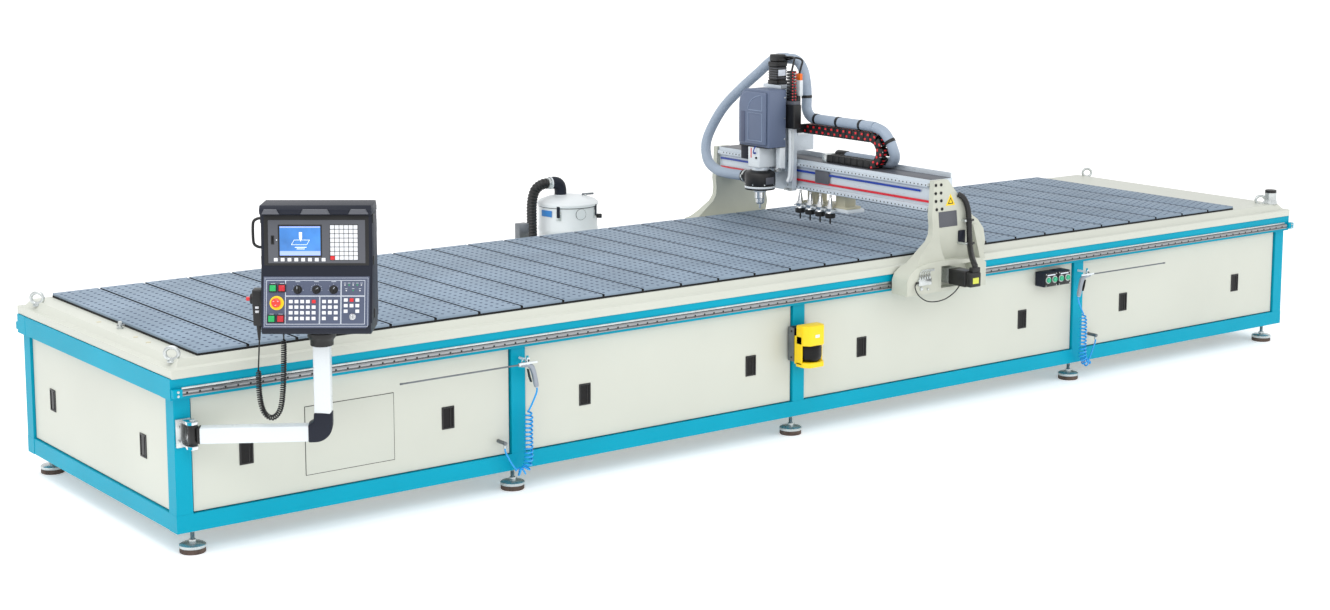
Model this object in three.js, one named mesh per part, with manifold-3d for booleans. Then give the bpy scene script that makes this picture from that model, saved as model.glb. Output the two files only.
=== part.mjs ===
// Bridge-type CNC router with a long vacuum bed, a travelling gantry, a swing-arm control
// desk, two air guns and a chip collector.  Millimetres, +Z up.
// Shop coordinates: x runs from the left end of the frame, y from the frame's front face
// towards the back, z from the floor.  The exported group moves the bottom centre to zero.
import * as THREE from 'three';
import { mergeVertices } from 'three/addons/utils/BufferGeometryUtils.js';
import Module from 'manifold-3d';

const wasm = await Module();
wasm.setup();

// ---- driving dimensions ---------------------------------------------------------------
const FRAME_LENGTH = 7560;
const FRAME_WIDTH = 1745;
const FRAME_BOTTOM = 110;
const TUBE = 80;
const POST_X = [40, 1770, 3530, 5670, 7520];
const AIR_GUNS = [[1, 1770, 1], [2, 5670, -1]];
const TOP_RAIL_Z = [712, 805];
const TOP_RAIL_PROUD = 20;
const GAP = 0.4;
const TABLE = { x0: -15, x1: 7575, y0: -30, y1: 1775, z0: 805.4, edge: 845, top: 880 };
const BED = { x0: 140, x1: 7100, y0: 40, y1: 1700, top: 900, slats: 29, groove: 14, depth: 12 };
const X_GUIDE = { x0: 20, x1: 7540, z0: 729, z1: 755, depth: 19 };
const FOOT_RADIUS = 60;

const LEG_PLATE = [-95, -60];
const LEG_FOOT = [-165, -43];
const DRIVE = { x: 4480, z: 785, flange: 80, motor: 88, y0: -111, y1: -178, y2: -350 };
const BEAM = { x0: 4412, x1: 4575, z0: 1125, z1: 1300 };
const TRAY_TOP = 1328;
const HEAD_Y = 1170;
const SPINDLE = { x: 4220, nose: 1112, tip: 1014 };
const CHAIN = { x0: 4446, x1: 4506, top: 1480, bottom: 1325, thick: 46, y: 478 };
const HOSE_R = 30;

const ARM = { x: 60, y: -62, z: 560, size: 72 };
const COLUMN = { x: 537, y: -354, size: 72, top: 962 };
const DESK_TURN = THREE.MathUtils.degToRad(-36.6);
const DESK_HALF = 236;
const PANEL_LOW = { y: -152, z: 1062 };
const PANEL_HIGH = { y: -98, z: 1290 };
const PANEL_TILT = Math.atan2(PANEL_HIGH.y - PANEL_LOW.y, PANEL_HIGH.z - PANEL_LOW.z);

const COLLECTOR = { x: 3700, y: 2400, r: 182, z0: 60, z1: 975 };

// ---- colours --------------------------------------------------------------------------
const PAINT = {
  teal: [0x0a9fb0, 0.4, 0.1],
  cream: [0xe4e2d2, 0.5, 0.05],
  slate: [0x5d6672, 0.6, 0.0],
  steel: [0x9aa0a5, 0.35, 0.9],
  black: [0x1a1b1d, 0.5, 0.1],
  charcoal: [0x3a3d47, 0.5, 0.1],
  hood: [0x6b7180, 0.5, 0.0],
  aluminium: [0xc2c8ca, 0.35, 0.8],
  white: [0xe9eaec, 0.4, 0.1],
  yellow: [0xf2c800, 0.45, 0.0],
  hose: [0xa9b4b8, 0.5, 0.0],
  green: [0x149a4a, 0.4, 0.0],
  red: [0xd0202c, 0.4, 0.0],
  blue: [0x2a8ee0, 0.4, 0.0],
  rubber: [0x4a3c36, 0.85, 0.0],
};

// ---- geometry helpers -----------------------------------------------------------------
function block(x0, x1, y0, y1, z0, z1) {
  const shape = new THREE.BoxGeometry(x1 - x0, y1 - y0, z1 - z0);
  return shape.translate((x0 + x1) / 2, (y0 + y1) / 2, (z0 + z1) / 2);
}

function outline(points) {
  return new THREE.Shape(points.map(([a, b]) => new THREE.Vector2(a, b)));
}

function extrudeAlongX(points, x0, x1) {
  const shape = new THREE.ExtrudeGeometry(outline(points), { depth: x1 - x0, bevelEnabled: false });
  const turn = new THREE.Matrix4().set(0, 0, 1, x0, 1, 0, 0, 0, 0, 1, 0, 0, 0, 0, 0, 1);
  return shape.applyMatrix4(turn);
}

function extrudeAlongY(points, y0, y1) {
  const shape = new THREE.ExtrudeGeometry(outline(points), { depth: y1 - y0, bevelEnabled: false });
  return shape.rotateX(Math.PI / 2).translate(0, y1, 0);
}

function extrudeAlongZ(points, z0, z1) {
  const shape = new THREE.ExtrudeGeometry(outline(points), { depth: z1 - z0, bevelEnabled: false });
  return shape.translate(0, 0, z0);
}

// A cylinder whose axis is the line from point a to point b.
function rod(a, b, radius, sides = 20, endRadius = radius) {
  const start = new THREE.Vector3(...a);
  const end = new THREE.Vector3(...b);
  const along = end.clone().sub(start);
  const shape = new THREE.CylinderGeometry(endRadius, radius, along.length(), sides);
  const turn = new THREE.Quaternion().setFromUnitVectors(new THREE.Vector3(0, 1, 0), along.clone().normalize());
  shape.applyQuaternion(turn);
  return shape.translate(...start.add(end).multiplyScalar(0.5).toArray());
}

// A turned body about the vertical through (x, y); profile holds radius and height pairs.
function turned(profile, x, y, sides = 24) {
  const points = profile.map(([r, z]) => new THREE.Vector2(r, z));
  return new THREE.LatheGeometry(points, sides).rotateX(Math.PI / 2).translate(x, y, 0);
}

function tube(points, radius, steps, sides = 10) {
  const path = new THREE.CatmullRomCurve3(points.map((p) => new THREE.Vector3(...p)), false, 'centripetal');
  const section = new THREE.Shape();
  for (let i = 0; i < sides; i += 1) {
    const angle = (2 * Math.PI * i) / sides;
    const corner = [radius * Math.cos(angle), radius * Math.sin(angle)];
    if (i === 0) section.moveTo(...corner);
    else section.lineTo(...corner);
  }
  section.closePath();
  return new THREE.ExtrudeGeometry(section, { steps, extrudePath: path, bevelEnabled: false });
}

function toSolid(geometry) {
  const clean = geometry.clone();
  clean.deleteAttribute('normal');
  clean.deleteAttribute('uv');
  const merged = mergeVertices(clean, 1e-3);
  return new wasm.Manifold(new wasm.Mesh({
    numProp: 3,
    vertProperties: new Float32Array(merged.attributes.position.array),
    triVerts: new Uint32Array(merged.index.array),
  }));
}

function fromSolid(solid) {
  const mesh = solid.getMesh();
  const geometry = new THREE.BufferGeometry();
  geometry.setAttribute('position', new THREE.BufferAttribute(new Float32Array(mesh.vertProperties), 3));
  geometry.setIndex(new THREE.BufferAttribute(new Uint32Array(mesh.triVerts), 1));
  geometry.computeVertexNormals();
  return geometry;
}

function join(...geometries) {
  return fromSolid(geometries.map(toSolid).reduce((sum, solid) => sum.add(solid)).simplify(0.01));
}

function cut(body, ...tools) {
  return fromSolid(tools.map(toSolid).reduce((rest, tool) => rest.subtract(tool), toSolid(body)).simplify(0.01));
}

const machine = new THREE.Group();
const desk = new THREE.Group();
desk.position.set(COLUMN.x, COLUMN.y, 0);
desk.rotation.z = DESK_TURN;
machine.add(desk);

function add(name, geometry, paint, parent = machine) {
  const [color, roughness, metalness] = PAINT[paint];
  const mesh = new THREE.Mesh(geometry, new THREE.MeshStandardMaterial({ color, roughness, metalness }));
  mesh.name = name;
  parent.add(mesh);
  return mesh;
}

function backwards(geometry) {
  const copy = geometry.index ? geometry.toNonIndexed() : geometry.clone();
  copy.applyMatrix4(new THREE.Matrix4().makeScale(1, -1, 1));
  const corners = copy.attributes.position;
  for (let i = 0; i < corners.count; i += 3) {
    const second = [corners.getX(i + 1), corners.getY(i + 1), corners.getZ(i + 1)];
    corners.setXYZ(i + 1, corners.getX(i + 2), corners.getY(i + 2), corners.getZ(i + 2));
    corners.setXYZ(i + 2, ...second);
  }
  return copy.translate(0, FRAME_WIDTH, 0);
}

// ---- base frame, cladding and feet ----------------------------------------------------
function baseFrame() {
  const [railLow, railHigh] = TOP_RAIL_Z;
  const low = [FRAME_BOTTOM, FRAME_BOTTOM + TUBE];
  const tubes = [
    block(0, FRAME_LENGTH, 0, TUBE, ...low),
    block(0, FRAME_LENGTH, FRAME_WIDTH - TUBE, FRAME_WIDTH, ...low),
    block(-TOP_RAIL_PROUD, FRAME_LENGTH + TOP_RAIL_PROUD, -TOP_RAIL_PROUD, TUBE, railLow, railHigh),
    block(-TOP_RAIL_PROUD, FRAME_LENGTH + TOP_RAIL_PROUD, FRAME_WIDTH - TUBE, FRAME_WIDTH + TOP_RAIL_PROUD,
      railLow, railHigh),
    block(1 - TOP_RAIL_PROUD, TUBE, TUBE - 10, FRAME_WIDTH - TUBE + 10, railLow + 1, railHigh - 1),
    block(FRAME_LENGTH - TUBE, FRAME_LENGTH + TOP_RAIL_PROUD - 1, TUBE - 10, FRAME_WIDTH - TUBE + 10,
      railLow + 1, railHigh - 1),
  ];
  const half = TUBE / 2 - 1;
  for (const x of POST_X) {
    for (const y of [1, FRAME_WIDTH - TUBE + 1]) {
      tubes.push(block(x - half, x + half, y, y + 2 * half, low[1] - 10, railLow + 10));
    }
    tubes.push(block(x - half + 1, x + half - 1, TUBE - 10, FRAME_WIDTH - TUBE + 10, low[0] + 1, low[1] - 1));
    tubes.push(block(x - half + 2, x + half - 2, TUBE - 10, FRAME_WIDTH - TUBE + 10, railLow + 14, railHigh - 2));
  }
  return join(...tubes, ...armBracket(), ...AIR_GUNS.flatMap(([, x, side]) => gunHook(x, side)));
}

// Hinge plate and two lugs that carry the desk arm's pin on the front left post.
function armBracket() {
  return [
    block(8, 72, -12, 5, 500, 620),
    block(30, 70, ARM.y - 26, -5, 500, 512),
    block(30, 70, ARM.y - 26, -5, 608, 620),
    rod([ARM.x, ARM.y, 505], [ARM.x, ARM.y, 615], 9, 16),
  ];
}

// Peg that carries an air gun.
function gunHook(x, side) {
  return [
    rod([x + side * 7, 5, 658], [x + side * 7, -72, 658], 6, 12),
    rod([x + side * 7, -70, 650], [x + side * 7, -70, 680], 6, 12),
  ];
}

function cladding(y0, y1, outer) {
  const fields = [block(85, FRAME_LENGTH - 85, y0, y1, 195, 707)];
  for (let i = 0; i + 1 < POST_X.length; i += 1) {
    const left = POST_X[i] + TUBE / 2 + 8;
    const right = POST_X[i + 1] - TUBE / 2 - 8;
    fields.push(block(left, right, Math.min(outer, y0 + 2), Math.max(outer, y1 - 2), 195, 707));
  }
  return join(...fields);
}

function addCladding() {
  const inner = TUBE + 4;
  const back = FRAME_WIDTH - inner;
  const unions = AIR_GUNS.map(([, x, side]) => rod([x - side * 110, 20, 264], [x - side * 110, -54, 264], 9, 16));
  add('front_cladding', join(cladding(inner, inner + 10, 14), ...unions), 'cream');
  add('rear_cladding', cladding(back - 10, back, FRAME_WIDTH - 14), 'cream');
  for (const [name, x] of [['left_end_panel', 14], ['right_end_panel', FRAME_LENGTH - 30]]) {
    add(name, block(x, x + 16, TUBE + 5, FRAME_WIDTH - TUBE - 5, 195, 707), 'cream');
  }
}

function levellingFoot(x, y) {
  const top = FRAME_BOTTOM - GAP;
  return turned([[0, 0], [FOOT_RADIUS - 3, 0], [FOOT_RADIUS, 14], [FOOT_RADIUS - 4, 22], [44, 26], [20, 40],
    [20, 52], [10, 53], [10, 82], [19, 83], [19, top], [0, top]], x, y, 16);
}

function addFeet() {
  const ends = { left: POST_X[0] + 58, middle: POST_X[2], right: POST_X[4] - 65 };
  for (const [place, x] of Object.entries(ends)) {
    add(`front_${place}_foot`, levellingFoot(x, 62), 'rubber');
    add(`rear_${place}_foot`, levellingFoot(x, FRAME_WIDTH - 62), 'rubber');
  }
}

// ---- table, bed and long guides -------------------------------------------------------
function tableTop() {
  const { x0, x1, y0, y1, z0, edge, top } = TABLE;
  const lip = 30;
  const bevel = 55;
  const profile = [[y0, z0], [y1, z0], [y1, edge], [y1 - lip, edge + 3], [y1 - bevel, top],
    [y0 + bevel, top], [y0 + lip, edge + 3], [y0, edge]];
  const ends = [[x0, z0], [x1, z0], [x1, edge], [x1 - lip, edge + 3], [x1 - bevel, top],
    [x0 + bevel, top], [x0 + lip, edge + 3], [x0, edge]];
  const long = toSolid(extrudeAlongX(profile, x0, x1));
  const across = toSolid(extrudeAlongY(ends, y0, y1));
  const pocket = block(BED.x0 - GAP, BED.x1 + GAP, BED.y0 - GAP, BED.y1 + GAP, 860, 920);
  return cut(fromSolid(long.intersect(across)), pocket);
}

function vacuumBed() {
  const pitch = (BED.x1 - BED.x0) / BED.slats;
  const grooves = [];
  for (let i = 1; i < BED.slats; i += 1) {
    const x = BED.x0 + i * pitch;
    grooves.push(block(x - BED.groove / 2, x + BED.groove / 2, BED.y0 - 5, BED.y1 + 5,
      BED.top - BED.depth, BED.top + 5));
  }
  return cut(block(BED.x0, BED.x1, BED.y0, BED.y1, 860 + GAP, BED.top), ...grooves);
}

function xGuide() {
  const { x0, x1, z0, z1, depth } = X_GUIDE;
  const face = -TOP_RAIL_PROUD - GAP;
  return extrudeAlongX([[face, z0], [face, z1], [face - depth + 5, z1], [face - depth, z1 - 6],
    [face - depth, z0 + 12], [face - depth + 6, z0 + 8], [face - depth, z0 + 4], [face - depth, z0]].reverse(),
  x0, x1);
}

function toolSetter() {
  return turned([[0, 880 + GAP], [42, 880 + GAP], [42, 892], [37, 895], [37, 950], [30, 953], [30, 966],
    [0, 968]], 7488, 57, 28);
}

// ---- gantry ---------------------------------------------------------------------------
const LEG_OUTLINE = [[4402, 1300], [4397, 1170], [4390, 1110], [4398, 1050], [4394, 1005], [4372, 968], [4336, 941],
  [4272, 890], [4215, 850], [4183, 815], [4177, 790], [4177, 702], [4740, 702], [4740, 800], [4785, 865],
  [4800, 935], [4785, 1005], [4740, 1060], [4700, 1085], [4640, 1150], [4505, 1300]];
const FOOT_OUTLINE = [[4150, 702], [4740, 702], [4740, 830], [4700, 858], [4420, 872], [4300, 868],
  [4215, 850], [4166, 815], [4150, 780]];

// Concave curve that runs from the foot's front edge up into the plate.
function sweepProfile() {
  const [front, back] = [LEG_FOOT[0] + 5, LEG_PLATE[0] + 4];
  const curve = [];
  for (let i = 0; i <= 8; i += 1) {
    const angle = (Math.PI / 2) * (i / 8);
    curve.push([front + (LEG_PLATE[0] - front) * Math.sin(angle), 1050 - 184 * Math.cos(angle)]);
  }
  return [[front, 850], [back, 850], [back, 1050], ...curve.reverse()];
}

function gantryLeg() {
  const plate = extrudeAlongY(LEG_OUTLINE, ...LEG_PLATE);
  const foot = extrudeAlongY(FOOT_OUTLINE, ...LEG_FOOT);
  const pocket = block(4400, 4640, LEG_FOOT[0] - 20, DRIVE.y0 + GAP, 722, 842);
  const sweep = fromSolid(toSolid(extrudeAlongX(sweepProfile(), 4190, 4448))
    .intersect(toSolid(extrudeAlongY(LEG_OUTLINE, LEG_FOOT[0] + 2, LEG_PLATE[1] - 8))));
  const web = extrudeAlongX([[LEG_FOOT[0] + 6, 850], [LEG_PLATE[0] + 5, 850], [LEG_PLATE[0] + 5, 1040],
    [LEG_PLATE[0] - 2, 1040]], 4700, 4738);
  return cut(join(plate, foot, sweep, web), pocket);
}

function xDrive() {
  const { x, z, flange, motor, y0, y1, y2 } = DRIVE;
  const f = flange / 2;
  const m = motor / 2;
  return join(
    block(x - f, x + f, y1, y0 - GAP, z - f, z + f),
    block(x - m, x + m, y2 + 45, y1 + 5, z - m, z + m),
    block(x - m + 4, x + m - 4, y2, y2 + 50, z - m + 4, z + m - 4),
    block(x - 18, x + 40, y2 + 8, y2 + 40, z + m - 10, z + m + 22),
  );
}

// Aluminium beam with its two guide rails, the cable tray's back wall and the blocks that
// carry the tool rack under it.
function gantryBeam() {
  const { x0, x1, z0, z1 } = BEAM;
  const ends = [LEG_PLATE[1] + GAP, FRAME_WIDTH - LEG_PLATE[1] - GAP];
  const section = [[x0, z0], [x1, z0], [x1, z1], [x0, z1], [x0, 1255], [x0 + 8, 1250], [x0 + 8, 1160], [x0, 1155]];
  return join(
    extrudeAlongY(section, ...ends),
    block(x0 - 12, x0 + 1, ends[0] + 6, ends[1] - 6, 1262, 1281),
    block(x0 - 12, x0 + 1, ends[0] + 6, ends[1] - 6, 1130, 1149),
    block(x1 - 1, x1 + 7, ends[0] + 15, ends[1] - 15, 1200, TRAY_TOP),
    block(4466, 4546, 700, 780, 1050, z0 + 5),
    block(4466, 4546, 950, 1030, 1050, z0 + 5),
    block(4462, 4570, 680, 1060, 1042, 1054),
  );
}

// Sliding plate with four forks; a tapered tool holder stands in each fork.
function toolRack() {
  const parts = [block(4455, 4580, 660, 1120, 1020, 1041)];
  for (let i = 0; i < 4; i += 1) {
    const y = 789 + i * 88.5;
    const x = 4432;
    parts.push(block(x - 22, 4460, y - 26, y + 26, 1024, 1034));
    parts.push(turned([[0, 950], [5, 950], [5, 982], [31, 986], [31, 1010], [25, 1012], [25, 1040],
      [20, 1042], [8, 1118], [0, 1118]], x, y, 10));
  }
  return join(...parts);
}

function addGantry() {
  const leg = gantryLeg();
  const drive = xDrive();
  add('front_gantry_leg', leg, 'cream');
  add('rear_gantry_leg', backwards(leg), 'cream');
  add('front_x_servo', drive, 'black');
  add('rear_x_servo', backwards(drive), 'black');
  add('gantry_beam', gantryBeam(), 'aluminium');
  add('tool_rack', toolRack(), 'white');
}

// ---- cross carriage and milling head --------------------------------------------------
function yCarriage() {
  const y0 = HEAD_Y - 120;
  const y1 = HEAD_Y + 120;
  return join(
    block(4364, 4398, y0, y1, 1118, 1735),
    block(4398 - 5, 4399, y0 + 10, y1 - 10, 1160, 1250),
    block(4350, 4530, y0 + 20, y1 - 20, 1350, 1362),
    block(4390, 4530, y0 + 6, y0 + 90, 1350, 1440),
    block(4398 - 5, 4430, y0 + 30, y1 - 30, 1440, 1665),
    block(4345, 4366, y0 + 46, y0 + 66, 1230, 1715),
    block(4345, 4366, y1 - 66, y1 - 46, 1230, 1715),
    block(4305, 4398, y0 + 40, y1 - 40, 1716, 1735),
  );
}

function zMotor() {
  const z0 = 1735 + GAP;
  return join(
    block(4306, 4388, HEAD_Y - 41, HEAD_Y + 41, z0, z0 + 150),
    block(4312, 4382, HEAD_Y - 35, HEAD_Y + 35, z0 + 145, z0 + 175),
    block(4380, 4402, HEAD_Y - 24, HEAD_Y + 24, z0 + 110, z0 + 165),
  );
}

function spindleHousing() {
  return join(
    block(4302, 4344, HEAD_Y - 95, HEAD_Y + 95, 1246, 1620),
    block(SPINDLE.x - 52, 4305, HEAD_Y - 52, HEAD_Y + 52, 1245, 1382 - GAP),
    rod([SPINDLE.x, HEAD_Y, 1150], [SPINDLE.x, HEAD_Y, 1250], 46, 28),
    rod([SPINDLE.x, HEAD_Y, SPINDLE.nose], [SPINDLE.x, HEAD_Y, 1155], 38, 28),
  );
}

function headHood() {
  const y0 = HEAD_Y - 135;
  const y1 = HEAD_Y + 135;
  const side = [[y0, 1382], [y1, 1382], [y1, 1640], [y1 - 16, 1680], [y1 - 50, 1706], [y1 - 80, 1716], [y0, 1716]];
  return extrudeAlongX(side, 4152, 4302 - GAP);
}

function dustShoe() {
  const ring = turned([[0, 1128], [76, 1128], [90, 1150], [90, 1228], [60, 1243], [0, 1243]], SPINDLE.x, HEAD_Y, 36);
  const port = rod([SPINDLE.x, HEAD_Y + 60, 1190], [SPINDLE.x, HEAD_Y + 150, 1190], 37, 20);
  const bore = turned([[0, 1100], [47, 1100], [47, 1260], [0, 1260]], SPINDLE.x, HEAD_Y, 36);
  return cut(join(ring, port), bore);
}

function spindleShaft() {
  const top = SPINDLE.nose - GAP;
  return turned([[0, SPINDLE.tip], [6, SPINDLE.tip], [6, 1040], [18, 1042], [25, 1050], [25, 1072], [30, 1076],
    [30, top], [0, top]], SPINDLE.x, HEAD_Y, 24);
}

function addHead() {
  add('y_carriage', yCarriage(), 'aluminium');
  add('z_servo', zMotor(), 'black');
  add('spindle_housing', spindleHousing(), 'white');
  add('head_hood', headHood(), 'hood');
  add('dust_shoe', dustShoe(), 'black');
  add('spindle_shaft', spindleShaft(), 'steel');
}

// ---- energy chain and dust hose -------------------------------------------------------
function addChain() {
  const { x0, x1, top, bottom, thick, y } = CHAIN;
  const centre = (top + bottom) / 2;
  const outer = (top - bottom) / 2 + thick / 2;
  const inner = outer - thick;
  const arc = [];
  for (let i = 0; i <= 12; i += 1) {
    const angle = Math.PI / 2 + (Math.PI * i) / 12;
    arc.push([Math.cos(angle), Math.sin(angle)]);
  }
  const ring = [...arc.map(([c, s]) => [y + outer * c, centre + outer * s]),
    ...arc.reverse().map(([c, s]) => [y + inner * c, centre + inner * s])];
  add('chain_bend', extrudeAlongX(ring, x0, x1), 'black');
  add('chain_upper_run', block(x0, x1, y + GAP, HEAD_Y - 114 - GAP, top - thick / 2, top + thick / 2), 'black');
}

const HOSE_RUN = [[4542, 700, 1334], [4542, 460, 1334], [4538, 385, 1345], [4518, 345, 1380], [4500, 340, 1420],
  [4488, 354, 1466], [4480, 398, 1516], [4477, 470, 1538], [4476, 560, 1539], [4476, 945, 1539],
  [4478, 1025, 1551], [4486, 1068, 1590], [4492, 1076, 1650], [4490, 1079, 1720], [4480, 1088, 1800],
  [4464, 1108, 1854], [4450, 1140, 1876], [4442, 1180, 1878]];
const HOSE_ARC = [[4441.8, 1181, 1878.1], [4433.8, 1221, 1880], [4416, 1300, 1862], [4394, 1400, 1784],
  [4360, 1525, 1680], [4318, 1640, 1560], [4280, 1710, 1430], [4252, 1725, 1330], [4234, 1680, 1240],
  [4224, 1580, 1196], [4220, 1470, 1188], [4220, HEAD_Y + 180, 1190], [4220, HEAD_Y + 151, 1190]];

function addDustHose() {
  add('dust_hose_run', tube(HOSE_RUN, HOSE_R, 52, 8), 'hose');
  add('dust_hose_drop', tube(HOSE_ARC, HOSE_R, 32, 8), 'hose');
}

// ---- control desk ---------------------------------------------------------------------
function deskArm() {
  const dx = COLUMN.x - ARM.x;
  const dy = COLUMN.y - ARM.y;
  const length = Math.hypot(dx, dy);
  const half = ARM.size / 2;
  const tubeBody = block(34, length, -half, half, ARM.z - half, ARM.z + half);
  tubeBody.rotateZ(Math.atan2(dy, dx)).translate(ARM.x, ARM.y, 0);
  const knuckle = cut(
    rod([ARM.x, ARM.y, 512 + GAP], [ARM.x, ARM.y, 608 - GAP], 24, 24),
    rod([ARM.x, ARM.y, 500], [ARM.x, ARM.y, 620], 9 + GAP, 24),
  );
  const neck = block(14, 40, -16, 16, 525, 595);
  neck.rotateZ(Math.atan2(dy, dx)).translate(ARM.x, ARM.y, 0);
  const elbow = block(-half - 8, half + 8, -half - 8, half + 8, 516, 655);
  const column = block(-half, half, -half, half, 650, COLUMN.top);
  const flange = rod([0, 0, 950], [0, 0, 1000 - GAP], 40, 24, 62);
  const upright = [elbow, column, flange].map((g) => g.rotateZ(DESK_TURN).translate(COLUMN.x, COLUMN.y, 0));
  return join(tubeBody, neck, knuckle, ...upright);
}

function deskHousing() {
  const side = [[62, 1020], [90, 1060], [90, 1540], [60, 1567], [-100, 1567],
    [-114, 1548], [-110, 1530], [-82, 1524], [-94, 1306], [PANEL_HIGH.y, PANEL_HIGH.z],
    [PANEL_LOW.y, PANEL_LOW.z], [-150, 1036], [-138, 1020]];
  const body = extrudeAlongX(side, -DESK_HALF, DESK_HALF);
  const handle = tube([[-DESK_HALF + 5, -40, 1500], [-DESK_HALF - 28, -40, 1500], [-DESK_HALF - 40, -40, 1488],
    [-DESK_HALF - 40, -40, 1392], [-DESK_HALF - 28, -40, 1380], [-DESK_HALF + 5, -40, 1380]], 6, 30, 8);
  const holster = block(-DESK_HALF - 8, -DESK_HALF + 5, -50, 10, 1080, 1130);
  return cut(join(body, handle, holster, rod([0, 0, 1000], [0, 0, 1025], 62, 28)), ...buttonPockets());
}

// Pockets behind the lamp buttons and the mushroom's stem, so that they can be pressed in.
function buttonPockets() {
  const square = LAMP_BUTTONS.map(([, across, z]) => onPanel(block(-14.5, 14.5, -5, 6, -14.5, 14.5), across, z));
  return [...square, onPanel(rod([0, -5, 0], [0, 8, 0], 13.5, 20), -167, 1153)];
}

// Puts a part that was drawn about the origin, pointing along -Y, on the sloping panel.
function onPanel(geometry, across, z) {
  const y = PANEL_LOW.y + (z - PANEL_LOW.z) * Math.tan(PANEL_TILT);
  return geometry.rotateX(-PANEL_TILT).translate(across, y, z);
}

function squareButton() {
  return block(-14, 14, -9, -GAP, -14, 14);
}

function selector() {
  return join(rod([0, -GAP, 0], [0, -12, 0], 15, 24), block(-4.5, 4.5, -24, -10, -15, 15));
}

function stopButton() {
  return join(rod([0, -GAP, 0], [0, -20, 0], 13, 20), rod([0, -18, 0], [0, -32, 0], 20, 24));
}

function keySwitch() {
  return join(rod([0, -GAP, 0], [0, -9, 0], 11, 20), block(-1.5, 1.5, -34, -7, -9, 9));
}

const LAMP_BUTTONS = [['start_button', -184, 1214, 'green'], ['stop_button', -146, 1214, 'red'],
  ['power_on_button', -188, 1088, 'green'], ['power_off_button', -150, 1088, 'red']];
const SELECTORS = [['mode_selector', -79], ['feed_selector', 0], ['spindle_selector', 73]];

function addDesk() {
  add('desk_arm', deskArm(), 'white');
  add('desk_housing', deskHousing(), 'charcoal', desk);
  add('emergency_stop', onPanel(stopButton(), -167, 1153), 'red', desk);
  for (const [name, across, z, paint] of LAMP_BUTTONS) {
    add(name, onPanel(squareButton(), across, z), paint, desk);
  }
  for (const [name, across] of SELECTORS) {
    add(name, onPanel(selector(), across, 1208), 'black', desk);
  }
  add('key_switch', onPanel(keySwitch(), 154, 1096), 'steel', desk);
  const side = -DESK_HALF - 8 - GAP;
  const grip = join(
    extrudeAlongX([[-52, 1120], [-52, 1195], [12, 1195], [12, 1120], [-4, 1030], [-36, 1030]].reverse(), side - 42, side),
    rod([side - 21, -20, 1034], [side - 21, -20, 966], 11, 14),
  );
  add('hand_pendant', grip, 'black', desk);
  const knob = join(rod([side - 42 - GAP, -20, 1150], [side - 54, -20, 1150], 22, 24),
    rod([side - 52, -20, 1150], [side - 72, -20, 1150], 9, 16));
  add('pendant_wheel', knob, 'red', desk);
  const coil = tube(CORD_COIL, 12.5, 26, 8);
  const tail = tube(CORD_TAIL, 3, 8, 8);
  const lead = tube(CORD_LEAD, 3, 4, 8);
  add('pendant_cord', join(coil, tail, lead), 'black', desk);
}

const CORD_LEAD = [[-157, -40, 1019.5], [-157, -40, 1000], [-157, -41, 975]];
const CORD_COIL = [[-157, -41, 980], [-158, -44, 900], [-164, -50, 760], [-178, -54, 672], [-212, -54, 636],
  [-248, -50, 660], [-266, -44, 730], [-270, -36, 846]];
const CORD_TAIL = [[-270, -36, 840], [-268, -28, 900], [-265.4, -20, 965.5]];

// ---- fittings on the frame ------------------------------------------------------------
function safetyScanner() {
  const x = POST_X[2];
  const body = extrudeAlongZ([[x - 72, -60], [x - 72, -118], [x - 45, -150], [x + 45, -150], [x + 72, -118],
    [x + 72, -60]], 548, 618);
  const window = turned([[0, 478], [58, 478], [66, 490], [66, 552], [0, 552]], x, -92, 28);
  const base = extrudeAlongZ([[x - 70, -60], [x - 70, -118], [x - 45, -148], [x + 45, -148], [x + 70, -118],
    [x + 70, -60]], 395, 482);
  const bracket = block(x - 76, x + 76, -62, -GAP, 402, 612);
  return join(body, window, base, bracket);
}

const DRIVE_BUTTON_X = [5344, 5396, 5450, 5504];

function addStations() {
  const housing = join(block(5318, 5424, -66, 12, 603, 687), block(5422, 5531, -65, 11, 604, 686));
  const holes = DRIVE_BUTTON_X.map((x) => rod([x, -75, 645], [x, -60, 645], 15.5, 20));
  add('button_station', cut(housing, ...holes), 'charcoal');
  DRIVE_BUTTON_X.forEach((x, i) => {
    add(`drive_button_${i + 1}`, rod([x, -66 - GAP, 645], [x, -78, 645], 15, 20), 'green');
  });
}

// Pistol grip with its long nozzle; side is +1 when the grip hangs right of the hook.
function airGun(x, side) {
  const at = (dx) => x + side * dx;
  return join(
    rod([at(-685), -62, 637], [at(-23), -62, 639], 5, 12),
    rod([at(-27), -62, 638], [at(45), -62, 630], 15, 16),
    rod([at(33), -62, 630], [at(63), -62, 518], 14, 16),
  );
}

function airTrigger(x, side) {
  const dx = (d) => x + side * d;
  const outer = [[dx(11), 614 - GAP], [dx(17), 614 - GAP], [dx(35), 548], [dx(28), 546]];
  return extrudeAlongY(side > 0 ? outer : outer.reverse(), -70, -54);
}

function airHose(x, side) {
  const at = (dx) => x + side * dx;
  const lead = tube([[at(63.8), -62, 516], [at(65.5), -62, 506], [at(60), -62, 484], [at(34), -62, 436],
    [at(19), -62, 404]], 4, 12, 8);
  const coil = tube([[at(18), -62, 412], [at(15), -62, 300], [at(15), -62, 180], [at(2), -61, 132],
    [at(-28), -57, 114], [at(-54), -51, 132]], 20, 16, 10);
  const tail = tube([[at(-51), -52, 129], [at(-74), -48, 160], [at(-94), -46, 196], [at(-107), -46, 222],
    [at(-110), -46, 241]], 4, 14, 8);
  return join(lead, coil, tail);
}

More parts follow.
